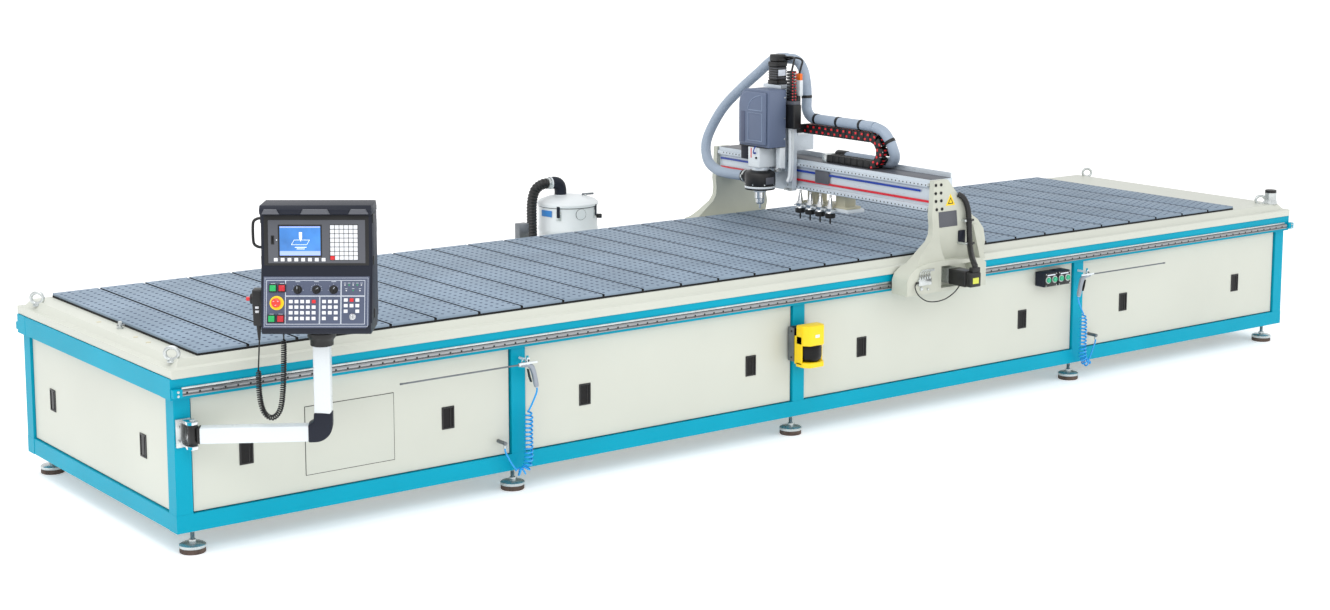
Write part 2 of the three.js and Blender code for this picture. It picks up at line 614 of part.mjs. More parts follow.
function addAirGuns() {
  for (const [number, x, side] of AIR_GUNS) {
    add(`air_gun_${number}`, airGun(x, side), 'aluminium');
    add(`air_gun_trigger_${number}`, airTrigger(x, side), 'black');
    add(`air_hose_${number}`, airHose(x, side), 'blue');
  }
}

// ---- chip collector -------------------------------------------------------------------
function addCollector() {
  const { x, y, r, z0, z1 } = COLLECTOR;
  const drum = turned([[0, z0], [r - 30, z0], [r - 20, z0 + 20], [r - 20, 420], [r, 440], [r, z1 - 40], [r + 8, z1 - 38],
    [r + 8, z1 - 20], [r - 8, z1 - 6], [r - 60, z1 + 14], [0, z1 + 22]], x, y, 28);
  const elbow = tube([[x - 40, y + 20, z1 + 5], [x - 40, y + 20, z1 + 60], [x - 52, y + 20, z1 + 88],
    [x - 80, y + 20, z1 + 100], [x - 120, y + 20, z1 + 100]], 38, 16, 16);
  const feet = [-1, 1].flatMap((sx) => [-1, 1].map((sy) => block(x + sx * 95 - 25, x + sx * 95 + 25,
    y + sy * 95 - 25, y + sy * 95 + 25, 0, z0 + 10)));
  const tie = block(x - 60, x + 60, FRAME_WIDTH + GAP, y - 130, 116, 156);
  add('chip_collector', join(drum, elbow, tie, ...feet), 'cream');
  add('collector_hose', tube(COLLECTOR_HOSE, 33, 36, 10), 'black');
}

const COLLECTOR_HOSE = [[3579, 2420, 1075], [3555, 2420, 1075], [3520, 2420, 1070], [3475, 2420, 1040],
  [3450, 2418, 970], [3443, 2412, 860], [3441, 2400, 700], [3440, 2370, 560], [3440, 2290, 440],
  [3440, 2160, 380], [3440, 2000, 360], [3440, 1840, 360], [3440, 1732, 360]];

// ---- assembly -------------------------------------------------------------------------
function addTable() {
  add('table_top', tableTop(), 'cream');
  add('vacuum_bed', vacuumBed(), 'slate');
  const guide = xGuide();
  add('front_x_guide', guide, 'steel');
  add('rear_x_guide', backwards(guide), 'steel');
  add('tool_setter', toolSetter(), 'aluminium');
  add('safety_scanner', safetyScanner(), 'yellow');
}

add('base_frame', baseFrame(), 'teal');
addCladding();
addFeet();
addTable();
addGantry();
addHead();
addChain();
addDustHose();
addDesk();
addStations();
addAirGuns();
addCollector();

// The origin is the middle of the footprint on the floor.
machine.updateMatrixWorld(true);
const limits = new THREE.Box3().setFromObject(machine, true);
const middle = limits.getCenter(new THREE.Vector3());
machine.position.set(-middle.x, -middle.y, -limits.min.z);

export default machine;
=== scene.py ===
"""Looks of a long bridge-type CNC router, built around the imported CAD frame.

Everything is drawn in shop millimetres: x from the left end of the machine's frame, y from its
front face backwards, z from the floor.  Desk parts are drawn in the desk's own turned frame.
"""
import math

import bmesh
import bpy
from mathutils import Matrix, Vector


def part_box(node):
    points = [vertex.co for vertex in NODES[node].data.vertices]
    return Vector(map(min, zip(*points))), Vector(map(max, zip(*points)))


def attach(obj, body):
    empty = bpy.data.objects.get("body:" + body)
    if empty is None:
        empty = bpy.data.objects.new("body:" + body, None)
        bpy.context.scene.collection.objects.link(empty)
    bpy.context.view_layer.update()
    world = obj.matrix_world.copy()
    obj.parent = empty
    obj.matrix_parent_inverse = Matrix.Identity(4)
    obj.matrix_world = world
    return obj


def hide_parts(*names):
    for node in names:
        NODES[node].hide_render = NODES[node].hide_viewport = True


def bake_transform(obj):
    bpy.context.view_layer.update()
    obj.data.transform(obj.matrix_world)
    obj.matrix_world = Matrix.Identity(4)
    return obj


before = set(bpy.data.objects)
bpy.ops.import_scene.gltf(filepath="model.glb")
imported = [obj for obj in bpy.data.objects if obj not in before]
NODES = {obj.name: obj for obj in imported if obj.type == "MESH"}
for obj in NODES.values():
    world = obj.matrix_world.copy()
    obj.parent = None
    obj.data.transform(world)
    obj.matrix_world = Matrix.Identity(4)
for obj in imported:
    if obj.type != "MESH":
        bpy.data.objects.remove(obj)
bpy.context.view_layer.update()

BED_LOW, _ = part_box("vacuum_bed")
BED_CORNER = (140, 40)
MM = 0.001
WIDTH = 1745
POSTS = (40, 1770, 3530, 5670, 7520)
AIR_GUNS = ((1, POSTS[1], 1), (2, POSTS[3], -1))


def turn_about(x, y, degrees):
    """A place at x, y, turned about the upright axis."""
    return Matrix.Translation((x, y, 0)) @ Matrix.Rotation(math.radians(degrees), 4, "Z")


SHOP = Matrix.Translation([BED_LOW[i] - MM * BED_CORNER[i] for i in (0, 1)] + [0]) @ Matrix.Scale(MM, 4)
DESK = SHOP @ turn_about(537, -354, -36.6)


def at_shop(x, y, z):
    return SHOP @ Vector((x, y, z))


# ---- materials -------------------------------------------------------------------------
def node_of(tree, kind, **values):
    node = tree.nodes.new(kind)
    for key, value in values.items():
        if key in node.inputs:
            node.inputs[key].default_value = value
        else:
            setattr(node, key, value)
    return node


def noise(tree, scale, stretch=(1, 1, 1), detail=3.0):
    place = node_of(tree, "ShaderNodeTexCoord")
    mapping = node_of(tree, "ShaderNodeMapping", Scale=stretch)
    texture = node_of(tree, "ShaderNodeTexNoise", Scale=scale, Detail=detail)
    tree.links.new(place.outputs["Object"], mapping.inputs["Vector"])
    tree.links.new(mapping.outputs["Vector"], texture.inputs["Vector"])
    return texture.outputs["Fac"]


def spread(tree, source, low, high):
    ramp = node_of(tree, "ShaderNodeMapRange")
    ramp.inputs["From Min"].default_value = 0.3
    ramp.inputs["From Max"].default_value = 0.7
    ramp.inputs["To Min"].default_value = low
    ramp.inputs["To Max"].default_value = high
    tree.links.new(source, ramp.inputs["Value"])
    return ramp.outputs["Result"]


def linear(rgb):
    return tuple(c / 12.92 if c <= 0.04045 else ((c + 0.055) / 1.055) ** 2.4 for c in rgb)


def material(name, rgb, rough=0.5, metal=0.0, vary=0.08, patch=3.0, grain=350.0, bump=0.15,
             stretch=(1, 1, 1), glow=0.0, coat=0.0, rough_by=0.06, shine=0.5):
    """A painted, moulded or metal surface: colour and roughness drift in patches, and a fine
    grain lifts the surface."""
    made = bpy.data.materials.new(name)
    made.use_nodes = True
    tree = made.node_tree
    shader = tree.nodes["Principled BSDF"]
    base = linear(rgb)
    shader.inputs["Metallic"].default_value = metal
    shader.inputs["Coat Weight"].default_value = coat
    shader.inputs["Specular IOR Level"].default_value = shine
    drift = noise(tree, patch, stretch)
    mix = node_of(tree, "ShaderNodeMix", data_type="RGBA")
    for socket in mix.inputs:
        if socket.name == "A" and socket.type == "RGBA":
            socket.default_value = (*[c * (1 - vary) for c in base], 1)
        if socket.name == "B" and socket.type == "RGBA":
            socket.default_value = (*[min(1, c * (1 + vary)) for c in base], 1)
    tree.links.new(spread(tree, drift, 0, 1), mix.inputs["Factor"])
    colour = [s for s in mix.outputs if s.type == "RGBA"][0]
    tree.links.new(colour, shader.inputs["Base Color"])
    fine = noise(tree, grain, stretch, 2.0)
    tree.links.new(spread(tree, fine, max(0.02, rough - rough_by), min(1, rough + rough_by)),
                   shader.inputs["Roughness"])
    lift = node_of(tree, "ShaderNodeBump", Strength=bump, Distance=0.0006)
    tree.links.new(fine, lift.inputs["Height"])
    tree.links.new(lift.outputs["Normal"], shader.inputs["Normal"])
    if glow:
        shader.inputs["Emission Color"].default_value = (*base, 1)
        shader.inputs["Emission Strength"].default_value = glow
    return made


TEAL = material("teal_paint", (0.0, 0.615, 0.725), 0.4, vary=0.07, patch=1.6, grain=600, shine=0.12)
CREAM = material("cream_paint", (0.78, 0.792, 0.752), 0.42, vary=0.035, patch=1.2, grain=500, coat=0.1)
CAST = material("cast_cream", (0.745, 0.757, 0.708), 0.5, vary=0.05, patch=6, grain=220, bump=0.35)
SLATE = material("bed_board", (0.52, 0.585, 0.65), 0.55, vary=0.12, patch=2.2, grain=260, bump=0.2,
                 shine=0.12)
HOLE_SHADE = material("hole_shade", (0.22, 0.27, 0.36), 0.8, vary=0.05, shine=0.1)
# Near-black painted shade for groove walls and bottoms, plate gaps and bolt holes.
PAINTED_SHADE = material("painted_shade", (0.06, 0.065, 0.075), 0.8, vary=0.1)
STEEL = material("ground_steel", (0.6, 0.61, 0.62), 0.3, 0.9, vary=0.12, patch=40, grain=300,
                 stretch=(0.05, 1, 1), bump=0.1)
ZINC = material("zinc_plate", (0.78, 0.8, 0.8), 0.28, 0.85, vary=0.1, patch=25, bump=0.1)
CHROME = material("chrome", (0.86, 0.87, 0.88), 0.12, 1.0, vary=0.03, bump=0.02, rough_by=0.03)
ALUMINIUM = material("aluminium", (0.8, 0.835, 0.865), 0.33, 0.35, vary=0.06, patch=10, grain=250,
                     stretch=(1, 0.05, 1), bump=0.12)
DARK_STEEL = material("dark_steel", (0.45, 0.47, 0.49), 0.35, 0.7, vary=0.1, patch=20)
GUN_GREY = material("gun_grey", (0.58, 0.61, 0.65), 0.4, 0.2, vary=0.06, patch=20)
BLACK = material("black_plastic", (0.055, 0.058, 0.065), 0.42, vary=0.15, grain=700, bump=0.2)
CHARCOAL = material("charcoal_paint", (0.125, 0.14, 0.185), 0.45, vary=0.08, grain=800, bump=0.35, shine=0.2)
RUBBER = material("foot_rubber", (0.34, 0.28, 0.25), 0.85, vary=0.3, patch=30, grain=200, bump=0.5)
DRUM_WHITE = material("drum_white", (0.87, 0.89, 0.9), 0.35, vary=0.03, patch=5)
WHITE = material("white_paint", (0.86, 0.885, 0.9), 0.3, vary=0.02, coat=0.2, bump=0.05)
KEY_WHITE = material("key_white", (0.9, 0.91, 0.93), 0.4, vary=0.03, bump=0.05)
HOOD = material("hood_grey", (0.375, 0.425, 0.525), 0.45, vary=0.05, patch=4, grain=700, bump=0.3)
# A lighter copy of the hood grey: painted highlight on the raised beads.
HOOD_EDGE_HIGHLIGHT = material("hood_edge_highlight", (0.5, 0.56, 0.66), 0.4, vary=0.04)
HOSE = material("grey_hose", (0.6, 0.655, 0.72), 0.45, vary=0.05, patch=8, bump=0.1)
YELLOW = material("scanner_yellow", (0.98, 0.83, 0.0), 0.4, vary=0.04, bump=0.15)
LENS = material("dark_window", (0.02, 0.02, 0.025), 0.2, vary=0.1, bump=0.0, shine=0.25)
BLUE_HOSE = material("blue_tube", (0.03, 0.6, 0.88), 0.25, vary=0.06, coat=0.3, bump=0.05)
GREEN = material("green_button", (0.06, 0.66, 0.48), 0.3, vary=0.05, coat=0.3)
RED = material("red_plastic", (0.86, 0.09, 0.13), 0.3, vary=0.05, coat=0.3)
MUSHROOM = material("mushroom_red", (0.93, 0.22, 0.16), 0.3, vary=0.04, coat=0.4)
GREEN_LIT = material("green_lamp", (0.05, 0.66, 0.35), 0.3, vary=0.05, glow=0.12, coat=0.3)
RED_LIT = material("red_lamp", (0.74, 0.06, 0.14), 0.3, vary=0.05, glow=0.08, coat=0.3)
BEZEL = material("bezel_grey", (0.33, 0.34, 0.37), 0.45, vary=0.05, grain=900, bump=0.2)
PANEL_BLUE = material("panel_blue_grey", (0.3, 0.335, 0.43), 0.5, vary=0.04, grain=900, bump=0.15)
LINE_WHITE = material("line_white", (0.85, 0.88, 0.92), 0.5, vary=0.02, bump=0.0)
SCREEN_BAR = material("screen_bar", (0.58, 0.66, 0.92), 0.2, vary=0.05, glow=0.55, bump=0.0)
SCREEN_MARK = material("screen_mark", (0.95, 0.97, 1.0), 0.2, vary=0.02, glow=0.8, bump=0.0)
BEAM_BLUE = material("stripe_blue", (0.05, 0.22, 0.62), 0.4, vary=0.05)
LABEL_BLUE = material("label_blue", (0.2, 0.5, 0.78), 0.5, vary=0.05)
BEAM_RED = material("stripe_red", (0.82, 0.1, 0.18), 0.4, vary=0.05)
LABEL_LIME = material("label_lime", (0.8, 0.82, 0.3), 0.5, vary=0.05)
BEIGE = material("beige_block", (0.78, 0.76, 0.66), 0.5, vary=0.06, grain=250, bump=0.3)
ORANGE = material("orange_plastic", (0.95, 0.45, 0.12), 0.4, vary=0.05)
DUST_SKIRT = material("black_bristle", (0.05, 0.05, 0.055), 0.9, vary=0.4, patch=300, grain=900,
                      stretch=(1, 1, 0.05), bump=0.9)


def screen_material():
    made = material("screen_blue", (0.22, 0.44, 0.7), 0.15, vary=0.25, patch=9, glow=0.0, bump=0.0)
    tree = made.node_tree
    shader = tree.nodes["Principled BSDF"]
    colour = shader.inputs["Base Color"].links[0].from_socket
    tree.links.new(colour, shader.inputs["Emission Color"])
    shader.inputs["Emission Strength"].default_value = 0.6
    return made


SCREEN_BLUE = screen_material()


# ---- mesh helpers ----------------------------------------------------------------------
SHARP_FROM = 0.6
AXIS_FROM_PLANE = {
    "x": lambda a, b, c: (c, a, b),
    "y": lambda a, b, c: (a, c, b),
    "z": lambda a, b, c: (a, b, c),
}


class Shape:
    """Collects simple solids, each with its own material, into one mesh."""

    def __init__(self, place=SHOP):
        self.bm = bmesh.new()
        self.place = place
        self.at = Matrix.Identity(4)
        self.materials = []

    def index(self, paint):
        if paint not in self.materials:
            self.materials.append(paint)
        return self.materials.index(paint)

    def take(self, verts, paint, bevel, steps):
        """Places new vertices, rounds their sharp edges and gives their faces a material."""
        faces = list(dict.fromkeys(f for v in verts for f in v.link_faces))
        bmesh.ops.recalc_face_normals(self.bm, faces=faces)
        bmesh.ops.transform(self.bm, matrix=self.at, verts=verts)
        number = self.index(paint)
        for face in faces:
            face.material_index = number
            face.smooth = True
        if bevel:
            sharp = [e for v in verts for e in v.link_edges if e.calc_face_angle(0) > SHARP_FROM]
            edges = list(dict.fromkeys(sharp))
            bmesh.ops.bevel(self.bm, geom=edges, offset=bevel, segments=steps, affect="EDGES",
                            profile=0.5, clamp_overlap=True, material=-1)
        return self

    def box(self, x0, x1, y0, y1, z0, z1, paint, bevel=0.0, steps=2):
        middle = Vector(((x0 + x1) / 2, (y0 + y1) / 2, (z0 + z1) / 2))
        size = Matrix.Diagonal((x1 - x0, y1 - y0, z1 - z0, 1))
        made = bmesh.ops.create_cube(self.bm, size=1, matrix=Matrix.Translation(middle) @ size)
        return self.take(made["verts"], paint, bevel, steps)

    def block(self, middle, half, z0, z1, paint, bevel=0.0, steps=2):
        """An upright box with a square foot, half to each side of its middle."""
        x, y = middle
        return self.box(x - half, x + half, y - half, y + half, z0, z1, paint, bevel, steps)

    def prism(self, points, axis, low, high, paint, bevel=0.0, steps=2):
        put = AXIS_FROM_PLANE[axis]
        rings = [[self.bm.verts.new(put(a, b, c)) for a, b in points] for c in (low, high)]
        count = len(points)
        for i in range(count):
            j = (i + 1) % count
            self.bm.faces.new((rings[0][i], rings[0][j], rings[1][j], rings[1][i]))
        self.bm.faces.new(rings[0])
        self.bm.faces.new(rings[1])
        return self.take(rings[0] + rings[1], paint, bevel, steps)

    def rod(self, a, b, radius, paint, sides=24, end=None, bevel=0.0):
        start, stop = Vector(a), Vector(b)
        along = stop - start
        turn = Vector((0, 0, 1)).rotation_difference(along).to_matrix().to_4x4()
        made = bmesh.ops.create_cone(
            self.bm, cap_ends=True, segments=sides, radius1=radius,
            radius2=radius if end is None else end, depth=along.length,
            matrix=Matrix.Translation((start + stop) / 2) @ turn)
        return self.take(made["verts"], paint, bevel, 2)

    def turned(self, profile, origin, paint, axis=(0, 0, 1), sides=32):
        """A turned body; profile holds radius and height pairs along the axis."""
        turn = Vector((0, 0, 1)).rotation_difference(Vector(axis)).to_matrix().to_4x4()
        place = Matrix.Translation(Vector(origin)) @ turn
        rings = []
        for radius, height in profile:
            if radius < 1e-6:
                rings.append([self.bm.verts.new(place @ Vector((0, 0, height)))])
                continue
            ring = []
            for i in range(sides):
                angle = 2 * math.pi * i / sides
                ring.append(self.bm.verts.new(
                    place @ Vector((radius * math.cos(angle), radius * math.sin(angle), height))))
            rings.append(ring)
        closed = len(rings[0]) > 1 and len(rings[-1]) > 1
        pairs = list(zip(rings, rings[1:])) + ([(rings[-1], rings[0])] if closed else [])
        for low, high in pairs:
            for i in range(sides):
                j = (i + 1) % sides
                corners = [low[i % len(low)], low[j % len(low)], high[j % len(high)], high[i % len(high)]]
                unique = list(dict.fromkeys(corners))
                if len(unique) > 2:
                    self.bm.faces.new(unique)
        return self.take([v for ring in rings for v in ring], paint, 0, 0)

    def tube(self, points, radius, paint, sides=12):
        """A round tube along points; radius is one number or one for each point."""
        path = [Vector(p) for p in points]
        radii = radius if isinstance(radius, list) else [radius] * len(path)
        rings = []
        for (centre, side, up), r in zip(frames_along(path), radii):
            rings.append([self.bm.verts.new(centre + r * (math.cos(a) * side + math.sin(a) * up))
                          for a in (2 * math.pi * i / sides for i in range(sides))])
        for low, high in zip(rings, rings[1:]):
            for i in range(sides):
                j = (i + 1) % sides
                self.bm.faces.new((low[i], low[j], high[j], high[i]))
        self.bm.faces.new(rings[0])
        self.bm.faces.new(rings[-1])
        return self.take([v for ring in rings for v in ring], paint, 0, 0)

    def done(self, name, body, replaces=(), blend=None, sharp=38):
        mesh = bpy.data.meshes.new(name)
        bmesh.ops.transform(self.bm, matrix=self.place, verts=self.bm.verts[:])
        self.bm.to_mesh(mesh)
        self.bm.free()
        for paint in self.materials:
            mesh.materials.append(paint)
        mesh.set_sharp_from_angle(angle=math.radians(sharp))
        piece = bpy.data.objects.new(name, mesh)
        bpy.context.collection.objects.link(piece)
        if blend:
            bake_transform(piece)
        else:
            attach(piece, body)
        if replaces:
            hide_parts(*replaces)
        return piece


def frames_along(path):
    """The centre and two side directions at each point, carried along without twist."""
    tangents = []
    for i in range(len(path)):
        ahead = path[min(i + 1, len(path) - 1)]
        behind = path[max(i - 1, 0)]
        tangents.append((ahead - behind).normalized())
    side = tangents[0].orthogonal().normalized()
    frames = []
    for centre, tangent in zip(path, tangents):
        side = (side - side.dot(tangent) * tangent).normalized()
        frames.append((centre, side, tangent.cross(side)))
    return frames


def smooth_path(points, step):
    """Points about a step apart on the Catmull-Rom curve through the given points."""
    knots = [Vector(p) for p in points]
    knots = [2 * knots[0] - knots[1], *knots, 2 * knots[-1] - knots[-2]]
    dense = []
    for a, b, c, d in zip(knots, knots[1:], knots[2:], knots[3:]):
        for k in range(24):
            t = k / 24
            dense.append(0.5 * (2 * b + (c - a) * t + (2 * a - 5 * b + 4 * c - d) * t * t
                                + (3 * b - a - 3 * c + d) * t ** 3))
    dense.append(knots[-2])
    return even_path(dense, step)


def even_path(dense, step):
    lengths = [0.0]
    for a, b in zip(dense, dense[1:]):
        lengths.append(lengths[-1] + (b - a).length)
    count = max(2, round(lengths[-1] / step))
    path = []
    k = 0
    for i in range(count + 1):
        goal = lengths[-1] * i / count
        while k < len(lengths) - 2 and lengths[k + 1] < goal:
            k += 1
        part = (goal - lengths[k]) / max(1e-9, lengths[k + 1] - lengths[k])
        path.append(dense[k].lerp(dense[k + 1], min(1, part)))
    return path


def path_length(path):
    return sum((b - a).length for a, b in zip(path, path[1:]))


def soften(name, width=0.003, steps=2, angle=32):
    """Rounds the sharp edges of a CAD node, which keeps its own mesh; width is in metres."""
    node = NODES[name]
    weld = node.modifiers.new("weld", "WELD")
    weld.merge_threshold = 0.00005
    bevel = node.modifiers.new("round", "BEVEL")
    bevel.width = width
    bevel.segments = steps
    bevel.limit_method = "ANGLE"
    bevel.angle_limit = math.radians(angle)
    bevel.harden_normals = False
    node.data.polygons.foreach_set("use_smooth", [True] * len(node.data.polygons))
    smooth = node.modifiers.new("shade", "WEIGHTED_NORMAL")
    smooth.keep_sharp = True


def paint_node(name, paint, round_by=0.0):
    node = NODES[name]
    if node.data.materials:
        for i in range(len(node.data.materials)):
            node.data.materials[i] = paint
    else:
        node.data.materials.append(paint)
    if round_by:
        soften(name, round_by)


# ---- camera, light and floor -----------------------------------------------------------
LENS_MM = 59.36
CAMERA_SHIFT = -0.08
CAMERA_AT = (-3831, -8636, 2954)
CAMERA_HEADING = -36.88
CAMERA_PITCH = 8.45
LIGHTS = (("key", (-2000, -6000, 7000), (3600, 800, 800), 130),
          ("fill", (8000, -6500, 4500), (4500, 500, 800), 75),
          ("top", (-400, 1000, 5000), (800, 900, 900), 85))
LIGHT_SIZE = (5, 3)
FLOOR_LOW, FLOOR_HIGH = -40000, 60000


def make_camera():
    data = bpy.data.cameras.new("camera")
    camera = bpy.data.objects.new("camera", data)
    bpy.context.collection.objects.link(camera)
    data.sensor_width = 36.0
    data.lens = LENS_MM
    data.shift_y = CAMERA_SHIFT
    data.clip_end = 200.0
    camera.location = at_shop(*CAMERA_AT)
    camera.rotation_euler = (math.radians(90 - CAMERA_PITCH), 0, math.radians(CAMERA_HEADING))
    bpy.context.scene.camera = camera


def area_light(name, place, aim, power):
    data = bpy.data.lights.new(name, "AREA")
    data.shape = "RECTANGLE"
    data.size, data.size_y = LIGHT_SIZE
    data.energy = power
    light = bpy.data.objects.new(name, data)
    bpy.context.collection.objects.link(light)
    light.location = at_shop(*place)
    light.rotation_euler = (at_shop(*aim) - light.location).to_track_quat("-Z", "Y").to_euler()


def make_studio():
    world = bpy.data.worlds.new("studio")
    bpy.context.scene.world = world
    world.use_nodes = True
    world.node_tree.nodes["Background"].inputs["Color"].default_value = (1, 1, 1, 1)
    world.node_tree.nodes["Background"].inputs["Strength"].default_value = 1.0
    for row in LIGHTS:
        area_light(*row)
    bpy.context.scene.view_settings.view_transform = "Standard"
    make_floor()


def make_floor():
    mesh = bpy.data.meshes.new("floor")
    low, high = FLOOR_LOW, FLOOR_HIGH
    corners = ((low, low), (high, low), (high, high), (low, high))
    mesh.from_pydata([at_shop(x, y, 0) for x, y in corners], [], [(0, 1, 2, 3)])
    floor = bpy.data.objects.new("floor", mesh)
    bpy.context.collection.objects.link(floor)
    mesh.materials.append(material("pale_floor", (0.97, 0.97, 0.97), 0.9, vary=0.0, bump=0.0, glow=0.35,
                                   shine=0.0))


# ---- cords -----------------------------------------------------------------------------
def helix(path, radius, turns, points_per_turn=14):
    """A wire wound round a path, easing in from the path at both ends."""
    count = int(turns * points_per_turn)
    spine = even_path(path, path_length(path) / count)
    wound = []
    for k, (centre, side, up) in enumerate(frames_along(spine)):
        angle = 2 * math.pi * turns * k / count
        ease = min(1.0, k / points_per_turn, (count - k) / points_per_turn)
        wound.append(centre + ease * radius * (math.cos(angle) * side + math.sin(angle) * up))
    return wound


def cord_piece(name, path, radius, paint, body, replaces):
    """A cord as one poly curve along path, which is already placed, in metres."""
    data = bpy.data.curves.new(name, "CURVE")
    data.dimensions = "3D"
    data.bevel_depth = radius * MM
    data.bevel_resolution = 2
    data.use_fill_caps = True
    spline = data.splines.new("POLY")
    spline.points.add(len(path) - 1)
    for point, place in zip(spline.points, path):
        point.co = (*place, 1)
    spline.use_smooth = True
    data.materials.append(paint)
    piece = bpy.data.objects.new(name, data)
    bpy.context.collection.objects.link(piece)
    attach(piece, body)
    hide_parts(replaces)
    return piece


def placed(path, place):
    return [place @ Vector(p) for p in path]


PENDANT_LEAD = [(-157, -40, 1019.5), (-157, -40, 1000), (-157, -41, 978)]
PENDANT_COIL = [(-157, -41, 978), (-158, -44, 900), (-164, -50, 760),
                (-178, -54, 672), (-212, -54, 636), (-248, -50, 660),
                (-266, -44, 730), (-270, -36, 842)]
PENDANT_TAIL = [(-270, -36, 842), (-268, -28, 900), (-265.4, -20, 965.5)]


def make_pendant_cord():
    coil = helix(smooth_path(PENDANT_COIL, 4), 9.8, 62)
    path = smooth_path(PENDANT_LEAD, 6)[:-1] + coil + smooth_path(PENDANT_TAIL, 8)[1:]
    path = placed(path, DESK)
    piece = cord_piece("pendant_cord_coiled", path, 3.3, BLACK, "desk", "pendant_cord")


def make_air_hoses():
    for number, x, side in AIR_GUNS:
        def along(points, x=x, side=side):
            return [(x + side * dx, y, z) for dx, y, z in points]
        lead = along([(63.8, -62, 516.5), (65.5, -62, 506), (60, -62, 484),
                      (34, -62, 436), (18, -62, 410)])
        coil = along([(18, -62, 410), (15, -62, 300), (15, -62, 180),
                      (2, -61, 132), (-28, -57, 114), (-54, -51, 132)])
        tail = along([(-54, -51, 132), (-74, -48, 160), (-94, -46, 196),
                      (-107, -46, 222), (-110, -46, 240.5)])
        wound = helix(smooth_path(coil, 6), 18.5, 17, points_per_turn=16)
        path = smooth_path(lead, 8)[:-1] + wound + smooth_path(tail, 8)[1:]
        path = placed(path, SHOP)
        piece = cord_piece(f"air_hose_coil_{number}", path, 4.5, BLUE_HOSE, "machine_base",
                           f"air_hose_{number}")


COLLECTOR_ROUTE = [
    (3579, 2420, 1075), (3555, 2420, 1075), (3520, 2420, 1070), (3475, 2420, 1040),
    (3450, 2418, 970), (3443, 2412, 860), (3441, 2400, 700), (3440, 2370, 560),
    (3440, 2290, 440), (3440, 2160, 380), (3440, 2000, 360), (3440, 1840, 360),
    (3440, 1732, 360)]


def ribbed(path, radius, depth, every):
    """Radii that rise and fall along a path, as on a corrugated hose."""
    gap = path_length(path) / (len(path) - 1)
    per_rib = max(2, round(every / gap))
    return [radius - depth * (0.5 + 0.5 * math.cos(2 * math.pi * i / per_rib)) for i in range(len(path))]


def make_collector_hose():
    path = smooth_path(COLLECTOR_ROUTE, 4.5)
    hose = Shape()
    hose.tube(path, ribbed(path, 33, 4.5, 18), BLACK, sides=20)
    hose.rod((3585, 2420, 1075), (3560, 2420, 1075), 35.2, ZINC, sides=32, bevel=1)
    piece = hose.done("collector_hose_ribbed", "machine_base", ["collector_hose"])


# ---- bed, table and frame --------------------------------------------------------------
SLATS = 29
SLAT_PITCH = (7100 - 140) / SLATS
HOLE_PITCH = 47.5
GROOVE = 7


def make_bed():
    base = Shape()
    # The dark trough under the slats is painted shade at the groove bottoms.
    base.box(139.5, 7100.5, 39.5, 1700.5, 862, 889, PAINTED_SHADE)
    base.done("bed_trough_shade", "machine_base")
    slats = Shape()
    for i in range(SLATS):
        left = 140 + i * SLAT_PITCH + (GROOVE if i else 0)
        right = 140 + (i + 1) * SLAT_PITCH - (GROOVE if i < SLATS - 1 else 0)
        slats.box(left, right, 40, 1700, 888.5, 900, SLATE, 1.2)
        if i:
            # A near-black strip on each groove's far wall: painted shade of the deep narrow groove.
            slats.box(left - 0.6, left + 1, 41, 1699, 888.5, 899, PAINTED_SHADE)
    slats.done("bed_slats", "machine_base", ["vacuum_bed"])
    holes = Shape()
    number = holes.index(HOLE_SHADE)
    for i in range(SLATS):
        for column in range(5):
            x = 140 + i * SLAT_PITCH + SLAT_PITCH * (column + 0.5) / 5
            stagger = 0.5 * (column % 2)
            for row in range(int(1620 / HOLE_PITCH)):
                vacuum_hole(holes.bm, x, 75 + (row + stagger) * HOLE_PITCH, number)
    holes.done("bed_holes", "machine_base")


def hexagon(x, y, radius, start=0):
    angles = [math.pi * (k + start) / 3 for k in range(6)]
    return [(x + radius * math.cos(a), y + radius * math.sin(a)) for a in angles]


def vacuum_hole(bm, x, y, number):
    """A round hole's painted shade: a low closed dark hexagon."""
    rings = [[bm.verts.new((*corner, z)) for corner in hexagon(x, y, radius)]
             for z, radius in ((899.5, 9.2), (900.2, 8.6))]
    faces = [bm.faces.new(rings[0][::-1]), bm.faces.new(rings[1])]
    for k in range(6):
        j = (k + 1) % 6
        faces.append(bm.faces.new((rings[0][k], rings[0][j], rings[1][j], rings[1][k])))
    for face in faces:
        face.material_index = number


def make_table_fittings():
    paint_node("table_top", CREAM, 0.004)
    bolts = Shape()
    for x, y in ((30, 62), (30, 1620), (7450, 105), (7540, 1650)):
        eyebolt(bolts, x, y)
    bolts.done("lifting_eyes", "machine_base")
    pins = Shape()
    pins.turned([(0, 880), (16, 880), (16, 886), (9, 888), (9, 912),
                 (7, 915), (0, 916)], (100, 780, 0), ZINC)
    pins.rod((85, 780, 896), (122, 780, 896), 4, STEEL, 16)
    for y in (420, 560, 980):
        pins.turned([(0, 879.5), (12, 879.5), (11, 882), (6, 882.5), (0, 881)],
                    (80, y, 0), BEIGE, sides=20)
    pins.done("stop_pins", "machine_base")
    setter = Shape()
    setter.turned([(0, 880.4), (42, 880.4), (42, 887), (39, 896), (37, 912),
                   (37, 950.5), (0, 950.5)], (7488, 57, 0), ZINC, sides=48)
    setter.turned([(0, 950), (35.5, 950), (35.5, 965), (33, 968), (0, 968)],
                  (7488, 57, 0), BLACK, sides=48)
    setter.done("tool_setter_turned", "machine_base", ["tool_setter"])


